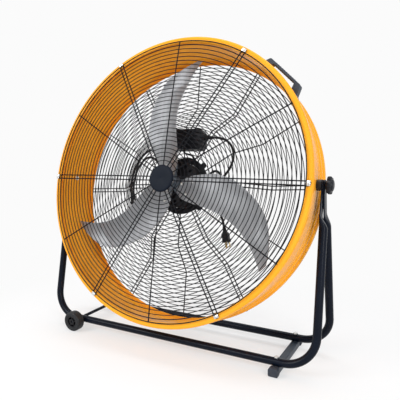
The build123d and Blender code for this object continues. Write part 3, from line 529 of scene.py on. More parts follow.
def swept(tree, line, sides, thickness, caps=False):
    """A round section of the wire's thickness along a curve."""
    section = step(tree, "GeometryNodeCurvePrimitiveCircle", (
        ("Resolution", sides), ("Radius", maths(tree, "MULTIPLY", thickness, 0.5)),
    )).outputs[0]
    return step(tree, "GeometryNodeCurveToMesh", (
        ("Curve", line), ("Profile Curve", section), ("Fill Caps", caps),
    )).outputs[0]


def hand_out(tree, geometry, finish, outs):
    """Give the result its finish and link it to the tree's end."""
    coated = step(tree, "GeometryNodeSetMaterial", (("Geometry", geometry), ("Material", finish)))
    tree.links.new(coated.outputs[0], outs.inputs[0])


# %% Tree: wire rings
rings_tree, ins, outs = new_tree("wire_rings", (
    ("Count", "Int"), ("First Radius", "Float"), ("Pitch", "Float"), ("Depth", "Float"),
    ("Depth Step", "Float"), ("Bow", "Float"), ("Wire", "Float"), ("Sides", "Int"),
    ("Finish", "Material"),
))
given = ins.outputs


def ring_maths(operation, first, second):
    return maths(rings_tree, operation, first, second)


index = step(rings_tree, "GeometryNodeInputIndex").outputs[0]
radius = ring_maths("SUBTRACT", given["First Radius"], ring_maths("MULTIPLY", index, given["Pitch"]))
ratio = ring_maths("DIVIDE", radius, given["First Radius"])
inward = ring_maths("SUBTRACT", 1.0, ring_maths("MULTIPLY", ratio, ratio))
moved = ring_maths("ADD", given["Depth"], ring_maths("MULTIPLY", index, given["Depth Step"]))
depth = ring_maths("SUBTRACT", moved, ring_maths("MULTIPLY", given["Bow"], inward))
spot = step(rings_tree, "ShaderNodeCombineXYZ", (("Y", depth),)).outputs[0]
points = step(
    rings_tree, "GeometryNodePoints", (("Count", given["Count"]), ("Position", spot))
).outputs[0]
loop = step(
    rings_tree, "GeometryNodeCurvePrimitiveCircle", (("Resolution", given["Sides"]), ("Radius", 1.0))
).outputs[0]
size = step(
    rings_tree, "ShaderNodeCombineXYZ", (("X", radius), ("Y", radius), ("Z", radius))
).outputs[0]
placed = step(rings_tree, "GeometryNodeInstanceOnPoints", (
    ("Points", points), ("Instance", loop), ("Rotation", (math.pi / 2, 0, 0)), ("Scale", size),
)).outputs[0]
loops = step(rings_tree, "GeometryNodeRealizeInstances", (("Geometry", placed),)).outputs[0]
hand_out(rings_tree, swept(rings_tree, loops, 8, given["Wire"]), given["Finish"], outs)
print("tree:", rings_tree.name, len(rings_tree.nodes), "nodes")

# %% Tree: wires and solids turned round the axis


def turning_tree(name, wire):
    """Turns the host's edges, swept as wire, or its solid, round the Y axis."""
    tree, ins, outs = new_tree(name, (
        ("Count", "Int"), ("Start", "Float"), ("Step", "Float"), ("Wire", "Float"),
        ("Finish", "Material"),
    ))
    given = ins.outputs
    index = step(tree, "GeometryNodeInputIndex").outputs[0]
    degrees = maths(tree, "ADD", given["Start"], maths(tree, "MULTIPLY", index, given["Step"]))
    angle = maths(tree, "RADIANS", degrees)
    turn = step(tree, "ShaderNodeCombineXYZ", (("Y", angle),)).outputs[0]
    points = step(tree, "GeometryNodePoints", (("Count", given["Count"]),)).outputs[0]
    drawn = given["Geometry"]
    if wire:
        drawn = step(tree, "GeometryNodeMeshToCurve", (("Mesh", drawn),)).outputs[0]
    placed = step(tree, "GeometryNodeInstanceOnPoints", (
        ("Points", points), ("Instance", drawn), ("Rotation", turn),
    )).outputs[0]
    whole = step(tree, "GeometryNodeRealizeInstances", (("Geometry", placed),)).outputs[0]
    if wire:
        whole = swept(tree, whole, 10, given["Wire"], caps=True)
    hand_out(tree, whole, given["Finish"], outs)
    return tree


wires_tree = turning_tree("wires_round_axis", True)
solids_tree = turning_tree("solids_round_axis", False)
print("trees:", wires_tree.name, solids_tree.name)


def wire_path(points):
    """A host mesh of edges along a drawn wire."""
    mesh = bpy.data.meshes.new("wire_path")
    mesh.from_pydata([tuple(p) for p in points], [(k, k + 1) for k in range(len(points) - 1)], [])
    return mesh


def turned_wires(points, count, start, wire, finish):
    return run_tree(wires_tree, wire_path(points), {
        "Count": count, "Start": start, "Step": 360.0 / count, "Wire": wire, "Finish": finish,
    })


def turned_solids(mesh, count, start, finish):
    return run_tree(solids_tree, mesh, {
        "Count": count, "Start": start, "Step": 360.0 / count, "Finish": finish,
    })


def wire_rings(count, first, pitch, depth, wire, step_y=0.0, bow=0.0, sides=120):
    return run_tree(rings_tree, wire_path([(0, 0, 0), (1, 0, 0)]), {
        "Count": count, "First Radius": first, "Pitch": pitch, "Depth": depth,
        "Depth Step": step_y, "Bow": bow, "Wire": wire, "Sides": sides, "Finish": wire_black,
    })


# %% [markdown]
# ## The drum
#
# The drum is one rolled sheet. A fat rolled bead stiffens the front, a narrower one the back, and
# pressed beads run round the wall. The profile holds the sheet's thickness all round.

# %% Drum shell
outer_wall = [
    (382.2, -79.5), (396, -79.5), (400, -75.5), (400, -61.5), (391.6, -55.5), (391, -50), (391, 9),
    (389.9, 11), (389.9, 13), (391, 15), (391, 24), (389.9, 26), (390.4, 34), (393.4, 37),
    (393.4, 48), (390.4, 51), (389.3, 54.5), (389.3, 58), (395, 61), (396, 64), (396, 75.5), (392, 79.5),
    (382.2, 79.5),
]
inner_wall = [
    (382.2, 78), (391.4, 78), (394.5, 75), (394.5, 64.4), (393.6, 62), (387.8, 58.6), (387.8, 54),
    (389, 50.4), (391.9, 47.4), (391.9, 37.6), (388.9, 34.6), (388.4, 26), (389.5, 23.6), (389.5, 15.4),
    (388.4, 13.4), (388.4, 10.6), (389.5, 8.6), (389.5, -50.2), (390.4, -54.4), (398.5, -60.8),
    (398.5, -75), (395.4, -78), (382.2, -78),
]
drum_mesh = lathed(softened(outer_wall + inner_wall, 2.2, 3), 192)
piece("drum_shell_sheet", drum_mesh, DRUM, enamel, "drum", ["drum_shell"], sharp=50)
print("drum faces:", made["drum_shell_sheet"])

# %% [markdown]
# ## The front guard
#
# Spokes bow forward from the rim to the middle, single ones and doubled ones in turn. A doubled
# spoke is one wire bent back on itself at the rim, where a clip holds it. Rings lie on the front of
# the spokes, the two outermost of heavier wire.

# %% Front guard
GUARD_R = 385.0
RING_PITCH = 11.2
WIRE, RIM_RING, FINE_RING = 3.2, 2.9, 2.2          # thickness of spokes, rim rings and others
TWIN = 5.3                                         # half the width of a doubled spoke
BOW = 13.6                                         # how far the middle stands forward
SPOKE_MID = -81.2                                  # middle of the wire at the rim
RING_MID = -83.9
LOOP_R = 391.2                                     # a doubled wire turns back round this radius


def bowed(r):
    """Depth of the middle of a front spoke at radius r."""
    return SPOKE_MID - BOW * (1 - (r / GUARD_R) ** 2)


def spoke_line(x, inner, outer, count=18):
    radii = [inner + (outer - inner) * k / (count - 1) for k in range(count)]
    return [(x, bowed(min(r, GUARD_R)), r) for r in radii]


def hairpin(there, middle, flatness):
    """A doubled wire: out along one leg, round a flattened loop and back along the other."""
    bend = [
        (TWIN * math.cos(a), middle, LOOP_R + TWIN * math.sin(a) * flatness)
        for a in [math.pi * k / 8 for k in range(1, 8)]
    ]
    return there + bend + [(-x, y, z) for x, y, z in reversed(there)]


single = turned_wires(spoke_line(0, 14, 386.4), 6, 0, WIRE, wire_black)
doubled = turned_wires(
    hairpin(spoke_line(TWIN, 14, 388), SPOKE_MID, 0.68), 6, 30, WIRE, wire_black
)
piece("front_spokes", joined(single, doubled), DRUM, wire_black, "drum",
      ["front_guard_spokes"])
front_rings = joined(
    wire_rings(1, GUARD_R, RING_PITCH, RING_MID, RIM_RING, sides=160),
    wire_rings(1, GUARD_R - RING_PITCH, RING_PITCH, RING_MID - 0.78, RIM_RING, sides=160),
    wire_rings(
        29, GUARD_R - 2 * RING_PITCH, RING_PITCH, RING_MID - 1.2, FINE_RING, bow=BOW - 1.5
    ),
)
piece("front_rings", front_rings, DRUM, wire_black, "drum", ["front_guard_rings"])
print("front guard faces:", made["front_spokes"], made["front_rings"])

# %% Front cap
cap_profile = softened(
    [(0, -101.4), (33.2, -101.4), (36, -100.4), (37.3, -98.4), (37.3, -96.65), (0, -96.65)], 0.9, 3
)
cap_mesh = lathed(cap_profile, 72)
piece("front_cap", cap_mesh, DRUM, cap_black, "drum", ["front_guard_cap"])
print("cap faces:", made["front_cap"])

# %% [markdown]
# ## The rear guard
#
# The back is dished: a flat field behind the rim, a cone that goes forward, and a flat centre that
# carries the motor plate. Each spoke is one bent wire that follows all three.

# %% Rear guard
FIELD_MID, CENTRE_MID = 81.2, 20.1                 # middles of the spoke wire
FIELD_RINGS, CENTRE_RINGS = 78.4, 17.3             # middles of the ring wire
FOLD_R, DISH_R, MOTOR_HOLE = 246.0, 178.0, 79.8


def rear_line(x, outer):
    return [
        (x, CENTRE_MID, MOTOR_HOLE), (x, CENTRE_MID, DISH_R - 5), (x, CENTRE_MID + 1.6, DISH_R - 1),
        (x, CENTRE_MID + 5, DISH_R + 4), (x, 76.2, FOLD_R - 2), (x, 79.6, FOLD_R + 2.5),
        (x, FIELD_MID, FOLD_R + 7), (x, FIELD_MID, outer),
    ]


rear_single = turned_wires(rear_line(0, 386.0), 6, 0, WIRE, wire_black)
rear_double = turned_wires(
    hairpin(rear_line(TWIN, 389), FIELD_MID, 0.62), 6, 30, WIRE, wire_black
)
rear_hoops = joined(
    wire_rings(1, GUARD_R, 0, FIELD_MID, 3.0, sides=160),
    wire_rings(1, GUARD_R - 12 * RING_PITCH, 0, FIELD_MID, 2.6),
)
piece("rear_spokes", joined(rear_single, rear_double), REAR, wire_black, "drum",
      ["rear_guard_field", "rear_guard_cone", "rear_guard_centre_spokes"])
piece("rear_hoops", rear_hoops, REAR, wire_black, "drum")
field = wire_rings(11, GUARD_R - RING_PITCH, RING_PITCH, FIELD_RINGS, FINE_RING)
piece("rear_field_rings", field, REAR, wire_black, "drum", ["rear_guard_field_rings"])
CONE_COUNT = 7
CONE_DEPTH = 79.5 - 21.8
CONE_STEP = CONE_DEPTH / CONE_COUNT
CONE_RATE = (FOLD_R - DISH_R) / CONE_DEPTH
cone = wire_rings(
    CONE_COUNT, FOLD_R - 2.4 - CONE_RATE * 4, CONE_STEP * CONE_RATE, 75.5, FINE_RING,
    step_y=-CONE_STEP * 0.97,
)
piece("rear_cone_rings", cone, REAR, wire_black, "drum", ["rear_guard_cone_rings"])
centre = wire_rings(9, GUARD_R - 19 * RING_PITCH, RING_PITCH, CENTRE_RINGS, FINE_RING)
piece("rear_centre_rings", centre, REAR, wire_black, "drum",
      ["rear_guard_centre_rings"])
print("rear guard faces:", made["rear_spokes"], made["rear_cone_rings"])

# %% [markdown]
# ## Clips and their screws
#
# A pressed saddle clip holds each doubled spoke's loop against the rim, with one cross-head screw.
# One clip and one screw are drawn at the top and turned round the axis.

# %% Screw and clip
CLIP_R, CLIP_SEAT, CLIP_T = 391.0, 83.0, 1.2       # radius, depth of its seat and thickness


def screw_head(radius, height, slot_w, sides=20):
    """A domed head with a cross slot, standing along -Y from depth zero."""
    profile = [(0, 0.0), (radius, 0.0), (radius, -height * 0.45)]
    for k in range(1, 6):
        a = math.pi / 2 * k / 5
        profile.append((radius * math.cos(a), -height * 0.45 - height * 0.55 * math.sin(a)))
    head = lathed(profile, sides)
    arm = radius * 0.62
    cross = joined(*[
        cut_plate(oblong(-half_x, -half_z, half_x, half_z), -height * 1.2, -height * 0.5)
        for half_x, half_z in ((arm, slot_w), (slot_w, arm))
    ])
    return cut(head, cross)


def saddle_clip(away):
    """A small pressed saddle over a doubled wire; away is -1 in front and 1 behind."""
    outline = [(-3.6, -6.6), (3.6, -6.6), (4.0, -6.0), (4.0, 6.0), (3.6, 6.6), (-3.6, 6.6),
               (-4.0, 6.0), (-4.0, -6.0)]
    return cut_plate([(z, x + CLIP_R) for x, z in outline], 0, away * CLIP_T, 0.35, 2)


small_screw = screw_head(3.3, 2.0, 0.45)
for label, away, place in (("front", -1, DRUM), ("rear", 1, REAR)):
    depth = away * CLIP_SEAT
    clip = saddle_clip(away)
    clip.transform(Matrix.Translation((0, depth, 0)))
    clips = turned_solids(clip, 6, 30, zinc)
    piece(label + "_clips", clips, place, zinc, "drum", [label + "_guard_clips"])
    head = small_screw.copy()
    if away > 0:
        head.transform(HALF_TURN)
    head.transform(Matrix.Translation((0, depth + away * CLIP_T, CLIP_R)))
    heads = turned_solids(head, 6, 30, zinc)
    piece(label + "_clip_screws", heads, place, zinc, "drum", [label + "_guard_screws"])
print("clips and screws:", made["front_clips"], made["front_clip_screws"])

# %% [markdown]
# ## The motor
#
# A closed barrel with a tapered bell at each end hangs in the middle of the dished guard. Both
# bells have cooling slots, cut here with one slot turned round the axis.

# %% Motor
MOTOR_R = 66.0
BARREL = 46                                        # length of the barrel


def bell(edge, side):
    """Tapered end bell from the barrel's edge; side is the way it points along Y."""
    shape = [(0, 0.1), (MOTOR_R, 0.1), (MOTOR_R, 3.1), (64, 5.4), (46, 13.6), (26, 14.6), (24, 15.4),
             (22.8, 18.9), (0, 18.9)]
    return lathed([(r, edge + side * y) for r, y in softened(shape, 1.6, 3)], 96)


for label, edge, side, near, far in (
    ("rear", BARREL, 1, BARREL + 4, BARREL + 24), ("front", 0, -1, -20, -4),
):
    slot = cut_plate([(-3, 47), (3, 47), (3.6, 61), (-3.6, 61)], near, far)
    slotted = cut(bell(edge, side), turned_solids(slot, 16, 0, motor_black))
    piece(f"motor_{label}_end", slotted, DRUM, motor_black, "drum",
          [f"motor_{label}_bell"])

barrel = lathed(softened(oblong(30, 0.2, MOTOR_R - 0.2, BARREL - 0.2), 0.8, 3), 96)
lug = cut_plate([(-8.5, 62), (8.5, 62), (8.5, 72), (5.5, 77.4), (-5.5, 77.4), (-8.5, 72)], 18.9, 21.6,
                0.5)
lugs = turned_solids(lug, 4, 0, motor_black)
piece("motor_body", joined(barrel, lugs), DRUM, motor_black, "drum", ["motor_barrel"])

# %% Motor plate and its screws
plate_ring = lathed(softened(oblong(66.4, 21.9, 82.4, 24.7), 0.6, 2), 96)
ear = cut_plate(softened([(-8.6, 80), (8.6, 80), (8.4, 89), (4, 93.6), (-4, 93.6), (-8.4, 89)], 3.0, 3),
                21.95, 24.65, 0.5, 2)
ears = turned_solids(ear, 4, 45, motor_black)
piece("motor_mount_plate", joined(plate_ring, ears), DRUM, motor_black, "drum",
      ["motor_plate"])

for label, spread, start, size in (
    ("motor_plate_screws", 85.2, 45, 5.4), ("motor_lug_screws", 74, 0, 3.8),
):
    head = screw_head(size, 2.8, size * 0.13)
    head.transform(Matrix.Translation((0, 24.9, spread)) @ HALF_TURN)
    heads = turned_solids(head, 4, start, zinc)
    piece(label.replace("screws", "bolts"), heads, DRUM, zinc, "drum", [label])
print("motor faces:", made["motor_rear_end"], made["motor_body"])

# %% [markdown]
# ## The blades
#
# A blade is one sheet, rolled to a camber and pitched less towards the tip. It is drawn as a grid:
# across from the leading to the trailing edge, up from root to tip, with the camber giving the
# depth of every point. The sheet's thickness goes on behind.

# %% Blade
CAMBER_R = 160.0
BLADE_TURN = -8.0                                  # degrees of the first blade from the top
# height, the middle line's x and depth, and the pitch in degrees
STATIONS = ((14, -1, -36, 24), (60, -8, -36, 24), (120, -22, -36, 10), (200, -26, -32, 4),
            (280, 9, -24, 2), (365, 92, -18, 2))
LEAD_EDGE = [(-22, 24), (-42, 44), (-62, 81), (-75, 119), (-79.5, 162), (-70, 209), (-53, 254.5),
             (-19, 299.5), (30.5, 328.5), (78, 343.6)]
TRAIL_EDGE = [(9, 20.5), (27, 53.5), (25, 97), (19, 139), (18.5, 179), (24.5, 218.5), (39, 257),
              (61, 293.5), (82, 319.5), (98.6, 337.6)]


def along(points, t):
    """Catmull-Rom curve through points, t from 0 to 1."""
    place = t * (len(points) - 1)
    k = min(int(place), len(points) - 2)
    u = place - k
    p = [Vector(points[max(0, min(len(points) - 1, k + j))]) for j in (-1, 0, 1, 2)]
    return 0.5 * (
        2 * p[1] + (p[2] - p[0]) * u + (2 * p[0] - 5 * p[1] + 4 * p[2] - p[3]) * u**2
        + (3 * p[1] - p[0] - 3 * p[2] + p[3]) * u**3
    )


def blade_depth(x, z):
    """Depth of the blade's front face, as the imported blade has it."""
    z = max(STATIONS[0][0], min(STATIONS[-1][0], z))
    for low, high in zip(STATIONS, STATIONS[1:]):
        if z <= high[0]:
            break
    t = (z - low[0]) / (high[0] - low[0])

    def at(station):
        turn = math.radians(-90 - station[3])
        cx = station[1] + CAMBER_R * math.cos(turn)
        cy = station[2] + CAMBER_R * math.sin(turn)
        return cy + math.sqrt(max(CAMBER_R**2 - (x - cx) ** 2, 0))

    return at(low) * (1 - t) + at(high) * t


def sheet_grid(lead, trail, rows, columns, lift, thick):
    """A closed thin sheet between two edges, following the blade's camber."""
    front, rear = [], []
    for i in range(rows + 1):
        start, end = along(lead, i / rows), along(trail, i / rows)
        for j in range(columns + 1):
            x, z = start.lerp(end, j / columns)
            y = blade_depth(x, z) + lift
            front.append((x, y, z))
            rear.append((x, y + thick, z))
    width, count = columns + 1, len(front)
    faces = []
    for i in range(rows):
        for j in range(columns):
            a = i * width + j
            faces.append((a, a + 1, a + 1 + width, a + width))
            faces.append(tuple(count + n for n in (a + width, a + 1 + width, a + 1, a)))
    border = (
        list(range(width)) + [width * (i + 1) - 1 for i in range(1, rows + 1)]
        + list(range(width * (rows + 1) - 2, width * rows - 1, -1))
        + [width * i for i in range(rows - 1, 0, -1)]
    )
    for a, b in zip(border, border[1:] + border[:1]):
        faces.append((a, b, count + b, count + a))
    return mesh_of("sheet", front + rear, faces)


blade = sheet_grid(LEAD_EDGE, TRAIL_EDGE, rows=56, columns=14, lift=0.0, thick=1.5)
blade = settle(blade, "BEVEL", width=0.45, segments=2, limit_method="ANGLE",
               angle_limit=math.radians(50))
for k in range(3):
    copy = blade.copy()
    copy.transform(clock(BLADE_TURN + 120 * k))
    piece(f"blade_sheet_{k + 1}", copy, DRUM, blade_metal, "rotor",
          [f"blade_{k + 1}"], sharp=60)
print("blade faces:", made["blade_sheet_1"])

# %% [markdown]
# ## The hub
#
# A pressed spider behind the blades has one arm for each, and three rivets hold blade to arm. A nut
# closes the hub on the shaft.

# %% Spider, rivets and nut
ARM_LEFT = [(-16, 15), (-28, 36), (-36, 52), (-35, 62), (-28, 69), (-12, 74)]
ARM_RIGHT = [(16, 15), (21, 32), (24, 48), (23, 60), (18, 70.5), (2, 75.5)]
arm = sheet_grid(ARM_LEFT, ARM_RIGHT, rows=20, columns=10, lift=1.8, thick=2.9)
arms = turned_solids(arm, 3, BLADE_TURN, spider_paint)
boss = lathed(softened(oblong(7.6, -47, 19, -21), 1.6, 3), 48)
piece("spider", joined(arms, boss), DRUM, spider_paint, "rotor", ["blade_spider"])


def rivet_place(x, z):
    """Matrix that stands a rivet on the blade's front at (x, z)."""
    y = blade_depth(x, z)
    slope_x = (blade_depth(x + 1, z) - blade_depth(x - 1, z)) / 2
    slope_z = (blade_depth(x, z + 1) - blade_depth(x, z - 1)) / 2
    up = Vector((slope_x, -1, slope_z)).normalized()
    turn = Vector((0, -1, 0)).rotation_difference(up).to_matrix().to_4x4()
    return Matrix.Translation((x, y, z)) @ turn


dome = lathed([(0, 0.2), (4.0, 0.2), (4.0, -0.4), (3.6, -1.1), (2.6, -1.7), (1.3, -2.0), (0, -2.1)], 20)
RIVETS = [(math.radians(-14), 27), (math.radians(-26), 58), (math.radians(12), 61)]
spots = [rivet_place(r * math.sin(a), r * math.cos(a)) for a, r in RIVETS]
tail = lathed(softened(oblong(0, 4.6, 3.8, 6.0), 0.5, 2), 16)
three = joined(copies(dome, *spots), copies(tail, *spots))
rivets = turned_solids(three, 3, BLADE_TURN, zinc)
piece("rivet_heads", rivets, DRUM, zinc, "rotor", ["blade_rivets"])

nut = cut_plate(circle(12.4, 6), -55.0, -47.2, 1.1, 3)
piece("hub_lock_nut", nut, DRUM, zinc, "rotor", ["hub_nut"])
rod = lathed(softened(oblong(0, -59, 7.4, 62.8), 1.0, 3), 40)
piece("motor_rod", rod, DRUM, ground_steel, "rotor", ["motor_shaft"])
print("rivets:", made["rivet_heads"])

# %% [markdown]
# ## The control box
#
# A moulded box on the guard holds the switch. Its cover has four screws, a speed knob with a
# pointer, and raised marks for the four settings.

# %% Box and cover
BOX_OUTLINE = [(-57, 122), (-50, 109), (34, 109), (48, 116), (48, 156), (38, 170), (-47, 170),
               (-57, 160)]
rounded = softened(BOX_OUTLINE, 4, 4)
body = cut_plate(rounded, 21.9, 50.7, 1.2, 3)
piece("switch_box", body, DRUM, box_plastic, "drum", ["control_box"])
lid = cut_plate(rounded, 50.95, 53.85, 1.0, 3)
SWITCH = Matrix.Translation((-4, 0, 140))          # the switch's axis
marks = []
for k in range(4):
    tick = cut_plate(oblong(-0.8, 17, 0.8, 21), 53.4, 54.6, 0.2, 2)
    tick.transform(SWITCH @ clock(-60 + 45 * k))
    marks.append(tick)
piece("switch_box_lid", joined(lid, *marks), DRUM, box_plastic, "drum",
      ["control_box_cover"])
CORNERS = ((-47, 162), (36, 162), (-45, 117), (34, 117))
head = screw_head(3.2, 1.9, 0.42)
turned = [Matrix.Translation((x, 53.95, z)) @ HALF_TURN for x, z in CORNERS]
piece("box_lid_screws", copies(head, *turned), DRUM, zinc, "drum", ["control_box_screws"])

# %% Speed knob
skirt = lathed(softened([(0, 54.2), (13.8, 54.2), (13.2, 59.0), (0, 59.0)], 1.2, 3), 48)
pointer_outline = softened([(-3.4, -12.8), (3.4, -12.8), (2.4, 12.8), (-2.4, 12.8)], 1.5, 3)
grip = joined(skirt, cut_plate(pointer_outline, 58.2, 67.6, 1.0))
grip.transform(SWITCH)
piece("speed_dial", grip, DRUM, knob_plastic, "speed_knob", ["speed_knob"])
print("control box faces:", made["switch_box"], made["speed_dial"])

# %% [markdown]
# ## Strain relief, plug and the motor's lead
#
# The cord leaves the box through a tapered, ribbed strain relief that lets it bend without a kink.
# It ends in a moulded plug with three pins.

# %% Strain relief
relief = [(0, 0), (5.0, 0), (5.0, 4.0), (7.9, 4.1), (7.9, 7.0), (6.3, 7.2)]
for k in range(5):
    start = 9.0 + k * 3.6
    size = 6.2 - 0.33 * k
    relief += [(size, start), (size, start + 1.9), (size - 1.0, start + 2.1), (size - 1.0, start + 3.2)]
relief += [(4.6, 27.6), (4.4, 29.8), (0, 29.8)]
sleeve = lathed(relief, 32)
sleeve.transform(Matrix.Translation((44, 38.8, 146)) @ ALONG_X)
piece("strain_relief", sleeve, DRUM, cord_sheath, "drum", ["cord_gland"])
print("strain relief faces:", made["strain_relief"])

# %% Plug
tail_way = (Vector(CORD_POINTS[-1]) - Vector(CORD_POINTS[-2])).normalized()
side = Vector((0, 1, 0))
side = (side - tail_way * side.dot(tail_way)).normalized()
third = tail_way.cross(side)
plug_place = Matrix.Translation(CORD_POINTS[-1]) @ Matrix(
    ((side.x, tail_way.x, third.x, 0), (side.y, tail_way.y, third.y, 0),
     (side.z, tail_way.z, third.z, 0), (0, 0, 0, 1))
)
PLUG_LEVELS = (                                    # depth, half sizes and squareness
    (0.2, 4.4, 4.4, 2.0), (6, 4.9, 4.9, 2.0), (12, 6.0, 5.6, 2.2), (17, 8.6, 7.2, 2.6),
    (20, 11.4, 9.3, 3.4), (24, 12.4, 10.4, 4.5), (34, 11.2, 9.4, 4.5), (42, 12.4, 10.4, 5.0),
    (45.2, 12.4, 10.4, 5.0), (45.9, 11.6, 9.6, 5.0),
)
plug_mesh = stacked([
    [(x, y, z) for x, z in squarish(half_x, half_z, power)]
    for y, half_x, half_z, power in PLUG_LEVELS
])
plug = piece("plug_shell", plug_mesh, DRUM @ plug_place, cord_sheath, "drum", ["plug"])
flat_pin = cut_plate(oblong(-3.1, -0.75, 3.1, 0.75), 45.5, 62.8, 0.3, 2)
round_pin = lathed([(0, 45.5), (2.35, 45.5), (2.35, 61), (1.6, 62.6), (0, 62.9)], 20)
pins_mesh = joined(
    copies(flat_pin, Matrix.Translation((4, 0, 6)), Matrix.Translation((4, 0, -6))),
    copies(round_pin, Matrix.Translation((-6, 0, 0))),
)
pins = piece("plug_contacts", pins_mesh, DRUM @ plug_place, brass, "drum", ["plug_pins"])

# %% Cord facts
cord.data.materials.append(cord_sheath)
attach(cord, "drum")
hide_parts("power_cord")

# %% Motor lead
lead_points = [
    (-18, 36.8, 111), (-18, 36.8, 102), (-8, 39, 98), (10, 42, 95), (17, 43, 85), (15, 42.5, 77),
    (14, 38, 72), (14, 38, 64.6),
]
lead_mesh = plain(smooth_cord("motor_wire_curve", lead_points, 2.8))
piece("motor_wire", lead_mesh, DRUM, cord_sheath, "drum", ["motor_lead"])
print("plug faces:", made["plug_shell"])

# %% [markdown]
# ## The stand
#
# Each frame is one steel tube. Its path runs along the floor, turns up through a bend at both
# corners, leans in to the tilt axis and is pressed flat at the end for the pivot bolt. A chain of
# sections follows the path, and each section is a squarish circle whose two half sizes change
# where the press has worked.

# %% Tube frames
FRAME_SPREAD = 84.4
TUBE_FLOOR = 30.6
TUBE_R = 10.5
TAB_IN, TAB_T = 404.0, 4.0
CORNER_X = 418.75
UPRIGHT_X = 412.5
BEND_R = 78.0
FLAT, PRESS, TAB_W = 73.0, 34.0, 27.0              # flat length, pressed length, flat width
RISE = PIVOT_HEIGHT - TUBE_FLOOR
FRAME_LEN = math.hypot(RISE, FRAME_SPREAD)
END_V = FRAME_LEN - FLAT - PRESS
END_X = UPRIGHT_X + (CORNER_X - UPRIGHT_X) * (1 - END_V / FRAME_LEN)


def half_path(tab_x):
    """(x, v, half across, half along) from the middle of the floor run to the tab's end."""
    lean = math.atan2(END_V, END_X - CORNER_X)
    reach = BEND_R * math.tan((math.pi - lean) / 2)
    stations = [(x, 0, TUBE_R, TUBE_R, 2.0) for x in (0, 120, 240, CORNER_X - reach)]
    cx, cy = CORNER_X - reach, BEND_R
    sweep = math.pi - lean
    for k in range(1, 17):
        a = sweep * k / 16
        stations.append((cx + BEND_R * math.sin(a), cy - BEND_R * math.cos(a), TUBE_R, TUBE_R, 2.0))
    start = stations[-1]
    for k in range(1, 6):
        t = k / 5
        stations.append((
            start[0] + (END_X - start[0]) * t, start[1] + (END_V - start[1]) * t, TUBE_R, TUBE_R, 2.0
        ))
    tab_mid = tab_x + TAB_T / 2
    for k in range(1, 11):
        t = k / 10
        ease = t * t * (3 - 2 * t)
        stations.append((
            END_X + (tab_mid - END_X) * ease, END_V + PRESS * t, TUBE_R + (TAB_T / 2 - TUBE_R) * ease,
            TUBE_R + (TAB_W / 2 - TUBE_R) * ease, 2.0 + 3.0 * ease,
        ))
    stations.append((tab_mid, FRAME_LEN, TAB_T / 2, TAB_W / 2, 5.0))
    for k in range(1, 10):
        a = math.pi / 2 * k / 9.4
        stations.append((
            tab_mid, FRAME_LEN + TAB_W / 2 * math.sin(a), TAB_T / 2, TAB_W / 2 * math.cos(a), 5.0
        ))
    return stations


def tube_frame(side, tab_x):
    half = half_path(tab_x)
    path = [(-x, v, a, b, p) for x, v, a, b, p in reversed(half[1:])] + half
    lean = Vector((0, -side * FRAME_SPREAD / FRAME_LEN, RISE / FRAME_LEN))
    outward = Vector((1, 0, 0)).cross(lean).normalized()
    origin = Vector((0, side * FRAME_SPREAD, TUBE_FLOOR))
    outlines = []
    for k, (x, v, across, along_y, power) in enumerate(path):
        before, after = path[max(k - 1, 0)], path[min(k + 1, len(path) - 1)]
        way = Vector((after[0] - before[0], 0, 0)) + lean * (after[1] - before[1])
        way.normalize()
        middle = origin + Vector((x, 0, 0)) + lean * v
        if across < TUBE_R - 0.01:
            way = lean * (1 if x > 0 else -1)
        normal = way.cross(outward).normalized()
        outlines.append([
            tuple(middle + normal * a + outward * b) for a, b in squarish(across, along_y, power)
        ])
    return stacked(outlines)


for label, side, tab_x in (("front", -1, TAB_IN), ("rear", 1, TAB_IN + TAB_T)):
    piece(label + "_tube", tube_frame(side, tab_x), STAND, powder_black, "stand",
          [label + "_frame"], sharp=60)
print("tube faces:", made["front_tube"])

# %% [markdown]
# ## Wheels
#
# Two solid rubber tyres on moulded hubs turn on one axle through both frames. The hub has a deep
# rim, five spokes and a boss, and a nut with a washer keeps it on.

# %% Wheels and axle
WHEEL_Y = FRAME_SPREAD + 29.8
AXLE_X = -322.7
tyre = lathed(softened([(19.1, -13.9), (27.4, -13.9), (30.55, -10.6), (30.55, 10.6), (27.4, 13.9),
                        (19.1, 13.9)], 2.4, 4), 96)
rim = lathed(softened(oblong(15.6, -13, 18.95, 13), 0.9, 3), 64)
web = lathed(softened(oblong(5.2, -2.2, 15.8, 2.2), 0.3, 1), 48)
boss = lathed(softened(oblong(5.15, -12.8, 8.6, 12.8), 0.9, 3), 40)
rib = cut_plate(oblong(-1.3, 8, 1.3, 16), -10.5, 10.5, 0.5, 2)
ribs = turned_solids(rib, 5, 0, wheel_plastic)
hub = joined(rim, web, boss, ribs)
for label, side in (("front", -1), ("rear", 1)):
    place = STAND @ Matrix.Translation((AXLE_X, side * WHEEL_Y, TUBE_FLOOR))
    piece(label + "_wheel_rubber", tyre.copy(), place, tyre_rubber, label + "_wheel",
          [label + "_tyre"])
    piece(label + "_wheel_core", hub.copy(), place, wheel_plastic, label + "_wheel",
          [label + "_wheel_hub"])

